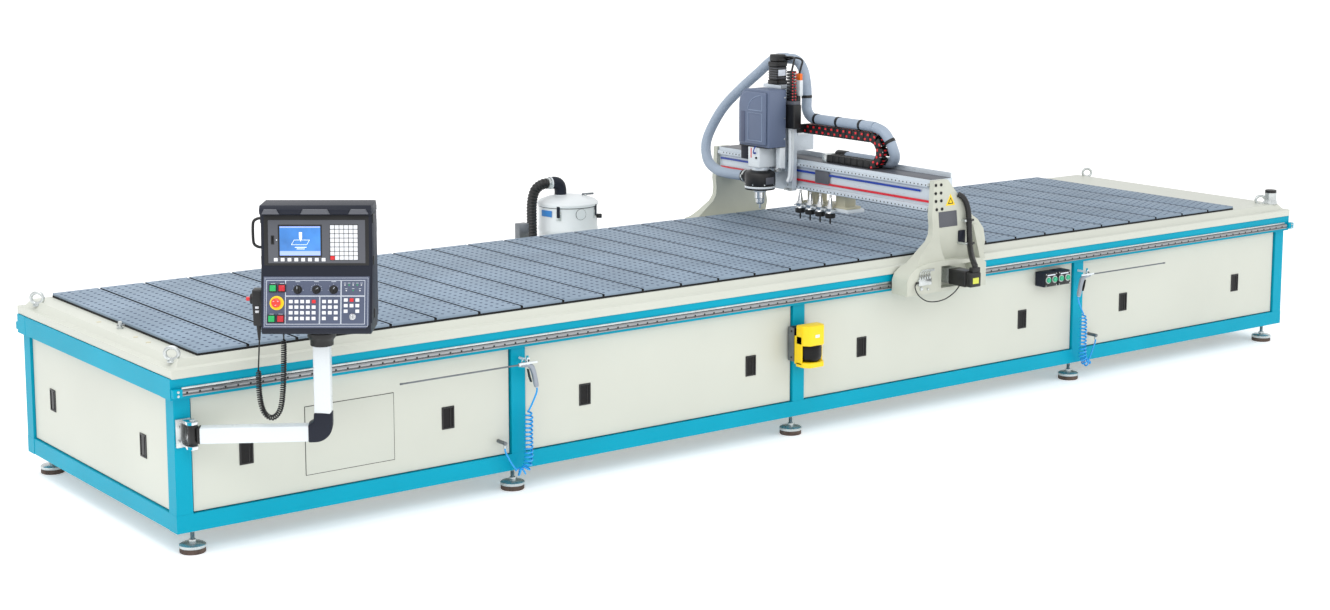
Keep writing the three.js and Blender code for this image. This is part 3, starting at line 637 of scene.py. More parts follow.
def eyebolt(shape, x, y):
    shape.turned([(0, 862), (22, 862), (22, 866), (13, 870), (10, 880), (0, 882)],
                 (x, y, 0), ZINC, sides=24)
    ring = [(x + 24 * math.cos(a), y - 18 * math.cos(a), 900 + 27 * math.sin(a)) for a in
            (2 * math.pi * k / 28 for k in range(29))]
    shape.tube(ring, 8.5, ZINC, sides=12)


def paint_frame():
    paint_node("base_frame", TEAL, 0.003)
    for name in ("front_cladding", "rear_cladding", "left_end_panel", "right_end_panel"):
        paint_node(name, CREAM, 0.0012)


PULLS = (345, 1383, 2166, 3215, 3986, 5220, 6076, 7108)
END_PULLS = (360, 1420)


def pull_handle(shape):
    """A flush black pull, 60 by 100 mm: raised rim, sunk dish and a finger bar."""
    for sx in (-1, 1):
        shape.box(sx * 30 - 4, sx * 30 + 4, -50, 50, -1, 3.5, BLACK, 1)
    for sz in (-1, 1):
        shape.box(-33.5, 33.5, sz * 50 - 4, sz * 50 + 4, -1, 3.4, BLACK, 1)
    # The sunk dish takes the darker dark_window black: painted shade in the recess.
    shape.box(-28, 28, -48, 48, -1, 0.8, LENS)
    shape.box(10, 14, -46, 46, 0.5, 2.8, BLACK, 0.8)


def make_pulls():
    front = Matrix(((1, 0, 0, 0), (0, 0, -1, 0), (0, 1, 0, 0), (0, 0, 0, 1)))
    pulls = Shape()
    for x in PULLS:
        for y, degrees in ((14, 0), (WIDTH - 14, 180)):
            pulls.at = turn_about(x, y, degrees) @ Matrix.Translation((0, 0, 420)) @ front
            pull_handle(pulls)
    for y in END_PULLS:
        for x, degrees in ((14, -90), (7546, 90)):
            pulls.at = turn_about(x, y, degrees) @ Matrix.Translation((0, 0, 430)) @ front
            pull_handle(pulls)
    pulls.done("panel_pulls", "machine_base")
    plate = Shape()
    # The dark rim round the plate is painted shade in the gap between plate and panel.
    plate.box(634.5, 1093.5, 12.5, 14.5, 264.5, 583.5, PAINTED_SHADE, 0.2)
    plate.box(637, 1091, 12, 14, 267, 581, CREAM, 0.3)
    plate.done("blank_name_plate", "machine_base")


def levelling_foot(shape, x, y):
    at = (x, y, 0)
    shape.turned([(0, 0), (55, 0), (58, 3), (58, 22), (56, 24), (0, 24)],
                 at, RUBBER, sides=40)
    shape.turned([(0, 23.5), (58.5, 23.5), (60, 26), (59.5, 36), (52, 41),
                  (24, 45), (0, 45)], at, ZINC, sides=40)
    shape.prism(hexagon(x, y, 17), "z", 44.5, 58, ZINC, 1)
    thread = [9 + 0.9 * (k % 2) for k in range(25)]
    shape.turned([(0, 57.5)] + [(r, 57.5 + 1.5 * k) for k, r in enumerate(thread)] + [(0, 94)],
                 at, STEEL, sides=20)
    shape.prism(hexagon(x, y, 18, 0.5), "z", 93.5, 108.5, ZINC, 1)


def make_feet():
    spots = {"left": 98, "second": 1770, "middle": 3530, "fourth": 5670, "right": 7455}
    for row, y in (("front", 62), ("rear", WIDTH - 62)):
        for place, x in spots.items():
            foot = Shape()
            levelling_foot(foot, x, y)
            node = f"{row}_{place}_foot"
            foot.done(f"{row}_{place}_level_foot", "machine_base",
                      [node] if node in NODES else ())


def make_guides():
    paint_node("front_x_guide", STEEL, 0.001)
    paint_node("rear_x_guide", STEEL, 0.001)
    trim = Shape()
    for y, out in ((-39.4, -1), (WIDTH + 39.4, 1)):
        for k in range(125):
            x = 50 + 60 * k
            # Dark discs in the rail's bolt holes: painted shade.
            trim.rod((x, y - out * 2, 743), (x, y + out * 0.6, 743), 4.8, PAINTED_SHADE, 10)
        rack_y = y - out * 16.5
        trim.box(30, 7530, rack_y - 6, rack_y + 6, 756.5, 766, ZINC, 0.8)
    trim.done("guide_hole_shade_and_rack", "machine_base")
    stops = Shape()
    for x in (-4, 7564):
        for y in (-34, WIDTH + 34):
            stops.box(x - 14, x + 30, y - 15, y + 15, 724, 762, TEAL, 3)
            out = -1 if y < 0 else 1
            for z in (734, 752):
                stops.rod((x + 8, y, z), (x + 8, y + out * 19, z), 6.5, ZINC, 6, bevel=1)
    stops.done("guide_end_stops", "machine_base")


# ---- fittings on the frame -------------------------------------------------------------
def make_scanner():
    x = POSTS[2]
    body = [(x - 72, -60), (x - 72, -118), (x - 45, -150), (x + 45, -150),
            (x + 72, -118), (x + 72, -60)]
    shape = Shape()
    shape.prism(body, "z", 512, 618, YELLOW, 8, 3)
    shape.prism(body, "z", 396, 424, YELLOW, 6, 3)
    shape.turned([(0, 423.5), (50, 423.5), (60, 434), (65.5, 456), (65.5, 500),
                  (62, 512.5), (0, 512.5)], (x, -86, 0), LENS, sides=48)
    shape.box(x - 64, x + 64, -92, -56, 423.5, 512.5, LENS, 4)
    shape.box(x - 14, x + 14, -151.5, -149, 556, 572, LINE_WHITE, 0.8)
    for sx in (-1, 1):
        shape.box(x + sx * 68 - 4, x + sx * 68 + 4, -108, -49, 410, 560, YELLOW, 2)
        shape.box(x + sx * 73 - 2, x + sx * 73 + 2, -48, -0.8, 420, 600, DARK_STEEL, 1)
        for z in (440, 580):
            shape.rod((x + sx * 72, -30, z), (x + sx * 78, -30, z), 6, BLACK, 6, bevel=1)
    shape.box(x - 75, x + 75, -5, -0.6, 420, 600, DARK_STEEL, 1)
    shape.box(x - 58, x + 58, -61, -4, 415, 600, BLACK, 3)
    shape.done("safety_scanner_head", "machine_base", ["safety_scanner"])


DRIVE_BUTTONS = (5344, 5396, 5450, 5504)


def make_button_station():
    shape = Shape()
    for x0, x1 in ((5318, 5422.5), (5426.5, 5531)):
        shape.box(x0, x1, -60, 12.5, 603, 687, CHARCOAL, 5, 3)
        shape.box(x0 + 3, x1 - 3, -66, -59.5, 606, 684, BLACK, 3)
        for sx in (x0 + 10, x1 - 10):
            for z in (612, 678):
                shape.rod((sx, -64, z), (sx, -66.8, z), 3, ZINC, 12)
        shape.box(x0 + 20, x1 - 20, -66.8, -65, 668.5, 675.5, LINE_WHITE, 0.3)
    for x in DRIVE_BUTTONS:
        shape.turned([(15.5, 65.5), (20.5, 65.5), (20.5, 69), (19, 71.2), (15.5, 71.2)],
                     (x, 0, 645), ZINC, axis=(0, -1, 0))
    shape.done("drive_button_boxes", "machine_base", ["button_station"])
    for number, x in enumerate(DRIVE_BUTTONS, 1):
        cap = Shape()
        cap.turned([(0, 70.2), (14.8, 70.2), (14.8, 75.2), (13.8, 76.8), (10.5, 77.8),
                    (8.5, 76.4), (0, 76)], (x, 0, 645), GREEN, axis=(0, -1, 0))
        cap.done(f"drive_button_cap_{number}", f"drive_key_{number}",
                 [f"drive_button_{number}"])


def make_air_gun(number, x, side):
    gun = Shape()

    def at(dx, z):
        return (x + side * dx, -62, z)
    gun.rod(at(-677, 637), at(-35, 638.5), 4, DARK_STEEL, 14)
    gun.rod(at(-685, 637), at(-670, 637), 5, DARK_STEEL, 14, bevel=1)
    gun.rod(at(-37, 638.3), at(-21, 637.9), 9.5, ZINC, 6, bevel=1)
    gun.tube([at(-23, 638), at(-1, 636.5), at(21, 633.5), at(37, 618), at(46, 596),
              at(52, 573), at(59, 538), at(62.5, 521)],
             [12, 13, 13.8, 13.8, 13, 12.5, 13.2, 11], GUN_GREY, sides=20)
    gun.rod(at(62.2, 525), at(63.5, 517.5), 7.5, ZINC, 6)
    gun.tube([at(5, 650), at(-1, 660), at(-11, 662), at(-19, 656), at(-21, 648)],
             2.2, ZINC, sides=8)
    gun.done(f"air_gun_body_{number}", "machine_base", [f"air_gun_{number}"])
    lever = Shape()
    points = [(x + side * a, z) for a, z in ((11.2, 613.2), (16.8, 613.5), (25, 578),
                                             (34.5, 549), (29, 547), (19.5, 574))]
    lever.prism(points, "y", -69.5, -54.5, BLACK, 1.2)
    lever.done(f"air_gun_lever_{number}", f"trigger_{number}", [f"air_gun_trigger_{number}"])
    fitting = Shape()
    tip = x - side * 110
    fitting.rod((tip, -46, 240), (tip, -46, 256), 8, ZINC, 6, bevel=1)
    fitting.rod((tip, 13.5, 264), (tip, -54.5, 264), 9.4, DARK_STEEL, 20, bevel=1)
    hook = x + side * 7
    fitting.rod((hook, -80, 658), (hook, -0.5, 658), 6.4, WHITE, 16)
    fitting.box(hook - 52, hook + 52, -80.5, -74.5, 640, 650, WHITE, 2)
    fitting.box(hook - 7, hook + 7, -80, -74.5, 638, 672, WHITE, 2)
    fitting.done(f"air_hose_fitting_{number}", "machine_base")


DRUM = (3700, 2400)


def make_collector():
    x, y = DRUM
    r = 182
    shape = Shape()
    shape.turned([(0, 60), (r - 30, 60), (r - 20, 75), (r - 20, 415), (r - 12, 424),
                  (r, 436), (r, 560), (r + 3.5, 565), (r + 3.5, 580), (r, 585), (r, 780),
                  (r + 3.5, 785), (r + 3.5, 800), (r, 805), (r, 932), (0, 932)],
                 (x, y, 0), DRUM_WHITE, sides=56)
    shape.turned([(0, 932.5), (r + 1, 932.5), (r + 1, 936.5), (0, 936.5)], (x, y, 0), CHARCOAL, sides=56)
    shape.turned([(0, 936), (r + 3, 936), (r + 8, 940), (r + 8, 952), (r + 3, 957),
                  (r - 9, 968), (r - 58, 986), (60, 996.5), (0, 997)], (x, y, 0),
                 DRUM_WHITE, sides=56)
    for degrees in (-142, -59, 30, 120):
        shape.at = turn_about(x, y, degrees)
        shape.box(r - 1, r + 5.5, -16, 16, 862, 915, ZINC, 2)
        shape.box(r + 4, r + 8.5, -10, 10, 878, 948, CHARCOAL, 1.5)
    shape.at = turn_about(x, y, -169)
    shape.box(r - 3.5, r + 2.2, -42, 42, 880, 918, LABEL_BLUE, 1)
    shape.at = turn_about(x, y, -98)
    for out, radius, paint in ((1.2, 34, CHARCOAL), (1.6, 32.5, DRUM_WHITE)):
        shape.rod((r - 3, 0, 897), (r + out, 0, 897), radius, paint, 40)
    shape.at = turn_about(x, y, -44)
    shape.rod((r - 4, 0, 868), (r + 30, 0, 868), 14, BLACK, 20, bevel=3)
    shape.at = Matrix.Identity(4)
    shape.tube(smooth_path([(x - 40, y + 20, 985), (x - 40, y + 20, 1030),
                            (x - 52, y + 20, 1062), (x - 80, y + 20, 1075),
                            (x - 120, y + 20, 1075)], 8), 37.2, CHARCOAL, sides=28)
    shape.rod((x - 110, y + 20, 1075), (x - 120.5, y + 20, 1075), 38.5, WHITE, 32, bevel=2)
    shape.turned([(0, 985), (50, 985), (50, 992), (40, 996), (40, 1000), (0, 1000)],
                 (x - 40, y + 20, 0), DRUM_WHITE, sides=40)
    shape.rod((x + 88, y - 66, 965), (x + 88, y - 66, 1000), 8, ZINC, 16, bevel=1)
    shape.rod((x + 70, y - 52, 999), (x + 128, y - 96, 1004), 6.5, DARK_STEEL, 12, bevel=1)
    for sx in (-1, 1):
        for sy in (-1, 1):
            fx, fy = x + sx * 95, y + sy * 95
            shape.block((fx, fy), 18, 38, 62, BLACK, 3)
            shape.rod((fx - 11, fy, 24), (fx + 11, fy, 24), 23.8, RUBBER, 28, bevel=3)
    shape.box(x - 60, x + 60, WIDTH + 0.6, y - 130, 117, 155, TEAL, 3)
    shape.done("collector_drum", "machine_base", ["chip_collector"])
    box = Shape()
    box.box(2955, 3020, 1800, 1850, 846, 960, DARK_STEEL, 3)
    box.box(2962, 3013, 1762, 1812, 790, 850, DARK_STEEL, 3)
    box.done("rear_rail_box", "machine_base")


# ---- gantry ----------------------------------------------------------------------------
MIRROR = Matrix(((1, 0, 0, 0), (0, -1, 0, WIDTH), (0, 0, 1, 0), (0, 0, 0, 1)))


def servo(shape):
    x, z = 4480, 785
    shape.box(x - 40, x + 40, -178, -111.6, z - 40, z + 40, ZINC, 3)
    shape.box(x - 43, x + 43, -310, -178.5, z - 43, z + 43, BLACK, 7, 3)
    shape.box(x - 40, x + 40, -350, -309.5, z - 40, z + 40, BLACK, 9, 3)
    shape.box(x - 18, x + 40, -342, -312, z + 36, z + 65.5, BLACK, 4)
    shape.rod((x + 12, -327, z + 64), (x + 12, -327, z + 78), 14, BLACK, 20, bevel=2)
    shape.box(x - 30, x + 30, -300, -220, z + 42.5, z + 43.8, BEZEL, 0.6)
    shape.box(x - 24, x + 20, -351.2, -349.5, z - 20, z + 12, LABEL_LIME, 0.4)
    for sx in (-1, 1):
        for sz in (-1, 1):
            shape.rod((x + sx * 32, -184, z + sz * 32), (x + sx * 32, -174.5, z + sz * 32),
                      4.5, ZINC, 6)


def leg_details(shape, with_plates):
    face = -95
    for z, shift in ((1276, 0), (1231, 0), (1188, 3), (1142, 10)):
        for x in (4413.5 + shift, 4453.5 + shift):
            shape.turned([(4.5, 94.5), (8.5, 94.5), (8.5, 98.5), (7, 99.5),
                          (4.5, 98)], (x, 0, z), BLACK, axis=(0, -1, 0), sides=20)
            # Each bolt head's socket is a dark disc: painted shade in the recess.
            shape.rod((x, -94, z), (x, -97.8, z), 4.6, PAINTED_SHADE, 6)
    if with_plates:
        x0, z0 = 4526, 1157
        for paint, grow, out in ((YELLOW, 1.0, 1.6), (BLACK, 0.6, 2), (YELLOW, 0.36, 2.4)):
            shape.prism([(x0 - 35 * grow, z0 + 21 - 21 * grow), (x0 + 35 * grow, z0 + 21 - 21 * grow),
                         (x0, z0 + 21 + 42 * grow)], "y", face - out, face + 1, paint, 0.3)
        shape.prism([(4446, 1040), (4582, 1040), (4572, 1126), (4438, 1126)], "y", face - 2.2,
                    face + 1, BEZEL, 0.8)
    shape.box(4588, 4634, face - 12, face + 2, 940, 1012, CHARCOAL, 3)
    conduit = smooth_path([(4580, -101, 1214), (4612, -113, 1188), (4638, -118, 1130),
                           (4646, -120, 1060), (4640, -132, 985), (4606, -172, 930),
                           (4556, -236, 892), (4506, -303, 872), (4493, -326, 860),
                           (4492, -327, 852)], 4)
    shape.tube(conduit, ribbed(conduit, 16.5, 1.4, 12), BLACK, sides=16)
    for z, x, y in ((1066, 4646, -120), (945, 4617, -158)):
        shape.rod((x, y, z - 6), (x, y, z + 6), 20.5, BLACK, 24, bevel=2)
        shape.box(x - 34, x - 14, y - 4, face + 2, z - 6, z + 6, ZINC, 1)
        shape.box(x + 12, x + 34, y - 6, y + 6, z - 6, z + 6, BLACK, 1)


def lubricator(shape):
    """The grease distributor on the foot: a block with five unions and its thin lines."""
    shape.box(4225, 4320, -174.5, -164.5, 752, 788, ZINC, 2)
    for k in range(5):
        x = 4237 + 18 * k
        shape.rod((x, -170, 786), (x, -170, 800), 6, ZINC, 6, bevel=0.8)
        shape.rod((x, -170, 799), (x, -170, 810), 3.5, STEEL, 12)
        line = smooth_path([(x, -170, 808), (x + 4, -172, 824), (x + 30, -170, 836),
                            (4345, -167, 826)], 6)
        shape.tube(line, 2.2, ZINC, sides=8)
    shape.rod((4210, -170.5, 770), (4226, -170.5, 770), 6.5, BLACK, 6, bevel=1)
    loop = smooth_path([(4212, -171, 770), (4196, -176, 752), (4210, -186, 710),
                        (4262, -194, 672), (4330, -196, 660), (4400, -200, 668),
                        (4450, -216, 700), (4470, -235, 738), (4474, -240, 745)], 8)
    shape.tube(loop, 3.2, BLACK, sides=8)
    shape.rod((4250, -165, 735), (4250, -172, 735), 10, ZINC, 20, bevel=1)
    shape.rod((4300, -165, 728), (4300, -171, 728), 7, ZINC, 6, bevel=1)


def make_gantry():
    for side, at in (("front", Matrix.Identity(4)), ("rear", MIRROR)):
        paint_node(f"{side}_gantry_leg", CAST, 0.006)
        motor = Shape()
        motor.at = at
        servo(motor)
        motor.done(f"{side}_servo_motor", "gantry", [f"{side}_x_servo"])
        trim = Shape()
        trim.at = at
        leg_details(trim, side == "front")
        if side == "front":
            lubricator(trim)
        trim.done(f"{side}_leg_fittings", "gantry")
    paint_node("gantry_beam", ALUMINIUM, 0.0015)
    beam_details()


def beam_details():
    y0, y1 = -50, WIDTH + 50
    face = 4412
    trim = Shape()
    trim.box(face - 0.8, face + 4, y0 + 75, y1 - 10, 1228, 1239.5, BEAM_BLUE, 0.3)
    trim.box(face - 0.8, face + 4, y0 + 4, y1 - 10, 1174.5, 1186.5, BEAM_RED, 0.3)
    for z in (1271.5, 1139.5):
        for k in range(60):
            y = y0 + 20 + 30 * k
            # Dark discs in the rails' bolt holes: painted shade.
            trim.rod((face - 12.6, y, z), (face - 10, y, z), 4.2, PAINTED_SHADE, 10)
        trim.box(face - 14, face + 2, y0 - 6, y0 + 6, z - 11, z + 11, ZINC, 2)
    trim.box(face - 3, face + 0.5, 780, 900, 1180, 1252, BEZEL, 0.8)
    trim.box(face + 10, 4570, y0, y1, 1299.5, 1302, BEZEL, 0.8)
    trim.box(4582, 4582.6, y0 + 20, y1 - 20, 1205, 1323, CREAM, 0.1)
    trim.done("beam_stripes_and_hole_shade", "gantry")


# ---- tool rack -------------------------------------------------------------------------
TOOL_NUT = [(0, 950), (4.8, 950), (4.8, 982), (24, 984), (30, 987), (30, 1008), (27, 1011), (0, 1011)]
TOOL_TAPER = [(0, 1010.5), (24.5, 1010.5), (25.5, 1014), (23, 1018), (23, 1030), (25.5, 1034),
              (25.5, 1039.5), (20, 1041), (8, 1100), (6.2, 1103), (6.2, 1108.5), (8.5, 1110),
              (7.8, 1116.5), (4, 1118), (0, 1118)]
TOOL_Y = [789 + 88.5 * k for k in range(4)]


def make_rack():
    shape = Shape()
    shape.box(4455.5, 4580, 660, 1120, 1020.5, 1041, WHITE, 3)
    for y in (690, 1090):
        for x in (4480, 4555):
            shape.rod((x, y, 1040.5), (x, y, 1041.8), 7, ZINC, 6)
    for y in TOOL_Y:
        for sy in (-1, 1):
            shape.box(4410, 4460, y + sy * 30 - 6, y + sy * 30 + 6, 1024.5, 1034, WHITE, 3)
        shape.box(4438, 4460, y - 34, y + 34, 1024, 1034.5, BLACK, 2)
        shape.turned(TOOL_NUT, (4432, y, 0), BLACK, sides=28)
        shape.turned(TOOL_TAPER, (4432, y, 0), CHROME, sides=32)
    shape.done("tool_rack_detailed", "rack", ["tool_rack"])
    blocks = Shape()
    for y in (700, 950):
        blocks.box(4464.5, 4547.5, y - 1, y + 81, 1053.5, 1124.8, BEIGE, 4)
    blocks.box(4461.5, 4570.5, 679, 1061, 1041.5, 1054.5, BEIGE, 2)
    blocks.done("rack_slide_blocks", "gantry")


# ---- head and carriage -----------------------------------------------------------------
HEAD_Y = 1170
SPINDLE_X = 4220


def make_carriage():
    paint_node("y_carriage", ALUMINIUM, 0.002)
    motor = Shape()
    y = HEAD_Y
    middle = (4347, y)
    motor.block(middle, 41, 1735.6, 1760, BLACK, 4)
    for half, z0, z1, bevel in ((38, 1759.5, 1840, 6), (41, 1839.5, 1868, 6), (35, 1867.5, 1909.8, 8)):
        motor.block(middle, half, z0, z1, BLACK, bevel, 3)
    for k in range(5):
        motor.block(middle, 39.2, 1772 + 14 * k, 1776 + 14 * k, BEZEL, 1)
    motor.box(4380, 4402, y - 24, y + 24, 1846, 1900, BLACK, 5)
    motor.box(4318, 4372, y - 42.5, y - 40, 1786, 1822, LINE_WHITE, 0.5)
    motor.done("z_servo_motor", "cross_carriage", ["z_servo"])
    behind = Shape()
    behind.box(4305, 4362, y - 200, y - 122, 1490, 1630, BLACK, 6, 3)
    behind.box(4309, 4356, y - 196, y - 124, 1629, 1650, BEZEL, 4)
    for k in range(10):
        z = 1650 + 17.5 * k
        behind.box(4312, 4350, y - 168, y - 124, z + 1, z + 15.5, BLACK, 3)
        for x in (4320, 4342):
            behind.rod((x, y - 169.5, z + 8), (x, y - 166.5, z + 8), 4.2, RED, 10)
    behind.box(4372, 4396, y - 172, y - 130, 1677, 1768, WHITE, 3)
    behind.box(4374, 4394, y - 170, y - 132, 1767, 1806, ORANGE, 3)
    behind.box(4362, 4398, y - 150, y - 119, 1560, 1690, BLACK, 3)
    cable_points = [[(4384, y - 150, 1803), (4390, y - 160, 1845), (4398, y - 160, 1880),
                     (4398, y - 110, 1893), (4396, y - 50, 1882), (4391, y - 12, 1874)],
                    [(4330, y - 146, 1820), (4338, y - 150, 1860), (4362, y - 130, 1893),
                     (4385, y - 70, 1896), (4388, y - 15, 1888)],
                    [(4350, y - 140, 1640), (4372, y - 150, 1655), (4380, y - 150, 1680)]]
    for points in cable_points:
        behind.tube(smooth_path(points, 5), 6, BLACK, sides=10)
    for x, dy in ((4335, 0), (4357, 6)):
        pipe = smooth_path([(x, y - 128 + dy, 1500), (x, y - 132 + dy, 1400), (x, y - 132 + dy, 1280),
                            (x - 2, y - 131 + dy, 1215), (x - 8, y - 129 + dy, 1190),
                            (x - 15, y - 126 + dy, 1176)], 6)
        behind.tube(pipe, 10.5, WHITE, sides=16)
    behind.box(4350, 4398, y - 119, y - 60, 1118, 1130, ZINC, 1)
    behind.box(4395, 4504, y - 128, y - 112, 1455, 1506, BLACK, 3)
    behind.box(4360, 4400, y - 128, y - 112, 1480, 1600, BLACK, 3)
    for sy in (-80, 80):
        for z in (1150, 1290, 1700):
            behind.rod((4365, y + sy, z), (4361.5, y + sy, z), 7, ZINC, 6)
    behind.done("carriage_cable_block", "cross_carriage")


def hood_outline(grow=0):
    y0, y1 = HEAD_Y - 135 + grow, HEAD_Y + 135 - grow
    arc = []
    for k in range(9):
        angle = math.pi / 2 * k / 8
        arc.append((y1 - 80 + 80 * math.cos(angle), 1636 + 80 * math.sin(angle) - grow))
    return [(y0, 1382 + grow), (y1, 1382 + grow), *arc, (y0, 1716 - grow)]


def make_head():
    y = HEAD_Y
    hood = Shape()
    hood.prism(hood_outline(), "x", 4170, 4301.4, HOOD, 5, 3)
    hood.prism(hood_outline(14), "x", 4152.5, 4171.5, HOOD, 10, 3)
    panel = [(y - 95, 1420), (y + 30, 1420), (y + 30, 1580), (y - 95, 1580), (y - 95, 1420)]
    arch = [(y - 95, 1596), (y + 30, 1596)]
    for k in range(9):
        angle = math.pi / 2 * k / 8
        arch.append((y - 95 + 125 * math.cos(angle), 1604 + 80 * math.sin(angle)))
    for outline in (panel, arch + [(y - 95, 1596)]):
        # The raised beads round the panel and arch are painted lighter: painted highlight.
        hood.tube([(4152.2, a, b) for a, b in outline], 3.2, HOOD_EDGE_HIGHLIGHT, sides=8)
    hood.box(4150, 4153.5, y + 60, y + 95, 1405, 1585, PANEL_BLUE, 1)
    hood.box(4176, 4296, y - 136.2, y - 134, 1400, 1700, HOOD, 0.8)
    for z in (1430, 1550, 1670):
        hood.rod((4288, y - 134, z), (4288, y - 138.5, z), 4.5, ZINC, 12)
    hood.box(4166, 4298, y - 128, y + 128, 1379, 1383.5, BLACK, 1)
    hood.done("head_hood_moulded", "milling_head", ["head_hood"])
    body = Shape()
    body.box(4302, 4344, y - 95, y + 95, 1246, 1620, ALUMINIUM, 2)
    body.box(SPINDLE_X - 52, 4304.5, y - 52, y + 52, 1258, 1381.5, WHITE, 8, 3)
    body.box(SPINDLE_X - 53.5, SPINDLE_X - 51, y + 16, y + 24, 1315, 1372, RED, 0.5)
    body.rod((SPINDLE_X - 52, y - 18, 1345), (SPINDLE_X - 64, y - 18, 1345), 5.5, BEAM_BLUE, 12)
    body.tube(smooth_path([(SPINDLE_X - 62, y - 18, 1345), (SPINDLE_X - 70, y - 22, 1352),
                           (SPINDLE_X - 68, y - 30, 1378), (SPINDLE_X - 58, y - 30, 1384)], 4),
              3.2, BEAM_BLUE, sides=10)
    body.rod((SPINDLE_X - 52, y - 30, 1318), (SPINDLE_X - 60, y - 30, 1318), 6, BLACK, 12)
    body.turned([(0, 1112.5), (36, 1112.5), (38, 1115), (38, 1155), (46, 1157),
                 (46, 1238), (50, 1241), (50, 1258.5), (0, 1258.5)], (SPINDLE_X, y, 0), ALUMINIUM, sides=48)
    for sy in (-78, 78):
        body.rod((4284, y + sy, 1240), (4284, y + sy, 1380), 9.5, CHROME, 24)
        body.box(4270, 4303.5, y + sy - 13, y + sy + 13, 1232, 1252, ZINC, 2)
    body.box(4262, 4303.5, y - 128, y - 96, 1258, 1379, WHITE, 4)
    body.box(4175, 4240, y + 60, y + 125, 1300, 1382, CHARCOAL, 6)
    body.done("spindle_body", "milling_head", ["spindle_housing"])
    make_shoe()
    paint_node("spindle_shaft", CHROME)


def make_shoe():
    y = HEAD_Y
    shoe = Shape()
    shoe.turned([(47.5, 1150), (88.5, 1150), (90, 1153), (90, 1200), (88, 1222),
                 (84, 1229), (62, 1241), (47.5, 1242)], (SPINDLE_X, y, 0), BLACK, sides=56)
    shoe.turned([(60, 1138.5), (89.5, 1138.5), (90.5, 1141), (90.5, 1147.5), (88, 1150.5),
                 (60, 1150.5)], (SPINDLE_X, y, 0), WHITE, sides=56)
    shoe.turned([(65, 1128.5), (86, 1128.5), (87, 1130), (87, 1139), (65, 1139)],
                (SPINDLE_X, y, 0), DUST_SKIRT, sides=56)
    shoe.tube([(SPINDLE_X, y + 75, 1190), (SPINDLE_X, y + 110, 1190), (SPINDLE_X, y + 149.5, 1190)],
              36.5, BLACK, sides=36)
    shoe.rod((SPINDLE_X, y + 122, 1190), (SPINDLE_X, y + 134, 1190), 38.5, ZINC, 36, bevel=1.5)
    shoe.box(SPINDLE_X - 46, SPINDLE_X - 36, y + 122, y + 134, 1183, 1203, ZINC, 2)
    shoe.box(SPINDLE_X - 30, SPINDLE_X + 30, y - 91.5, y - 88, 1165, 1205, BEZEL, 1)
    for k in range(8):
        angle = math.pi * (k + 0.5) / 4
        c, s = math.cos(angle), math.sin(angle)
        shoe.rod((SPINDLE_X + 88 * c, y + 88 * s, 1162), (SPINDLE_X + 91.5 * c, y + 91.5 * s, 1162),
                 4, ZINC, 6)
    shoe.done("dust_shoe_ring", "milling_head", ["dust_shoe"])


# ---- energy chain and dust hose ----------------------------------------------------------
CHAIN_X = (4446, 4506)
CHAIN_MIDDLE = 4476
CHAIN_TOP, CHAIN_LOW, CHAIN_Y = 1480, 1325, 478
CHAIN_TALL = 56
LINK = 52
LOW_RUN = 422


def chain_link(shape, y, z, angle, half_long=25, tall=CHAIN_TALL, catches=True):
    """One link: two black side plates, often with staggered red catches, and two cross bars."""
    shape.at = Matrix.Translation((0, y, z)) @ Matrix.Rotation(angle, 4, "X")
    half = tall / 2
    low, high = CHAIN_X
    for x, out in ((low, -1), (high, 1)):
        inner = x - out * 6
        shape.box(min(x, inner), max(x, inner), -half_long, half_long, -half, half, BLACK, 3.5)
        for y_mark, z_mark in ((-12, 14), (13, -12)) if catches else ():
            shape.box(min(x, x + out * 1.2), max(x, x + out * 1.2), y_mark - 8, y_mark + 8,
                      z_mark - 6, z_mark + 6, RED, 0.5)
    for z_bar in (-half + 2, half - 6.5):
        for y_bar in (-half_long / 2, half_long / 2):
            shape.box(low + 5, high - 5, y_bar - 7, y_bar + 7, z_bar, z_bar + 4.5, BLACK, 1)
            if catches:
                shape.box(low + 20, high - 20, y_bar - 4, y_bar + 4, z_bar + 4, z_bar + 5.2,
                          RED, 0.4)
    shape.at = Matrix.Identity(4)


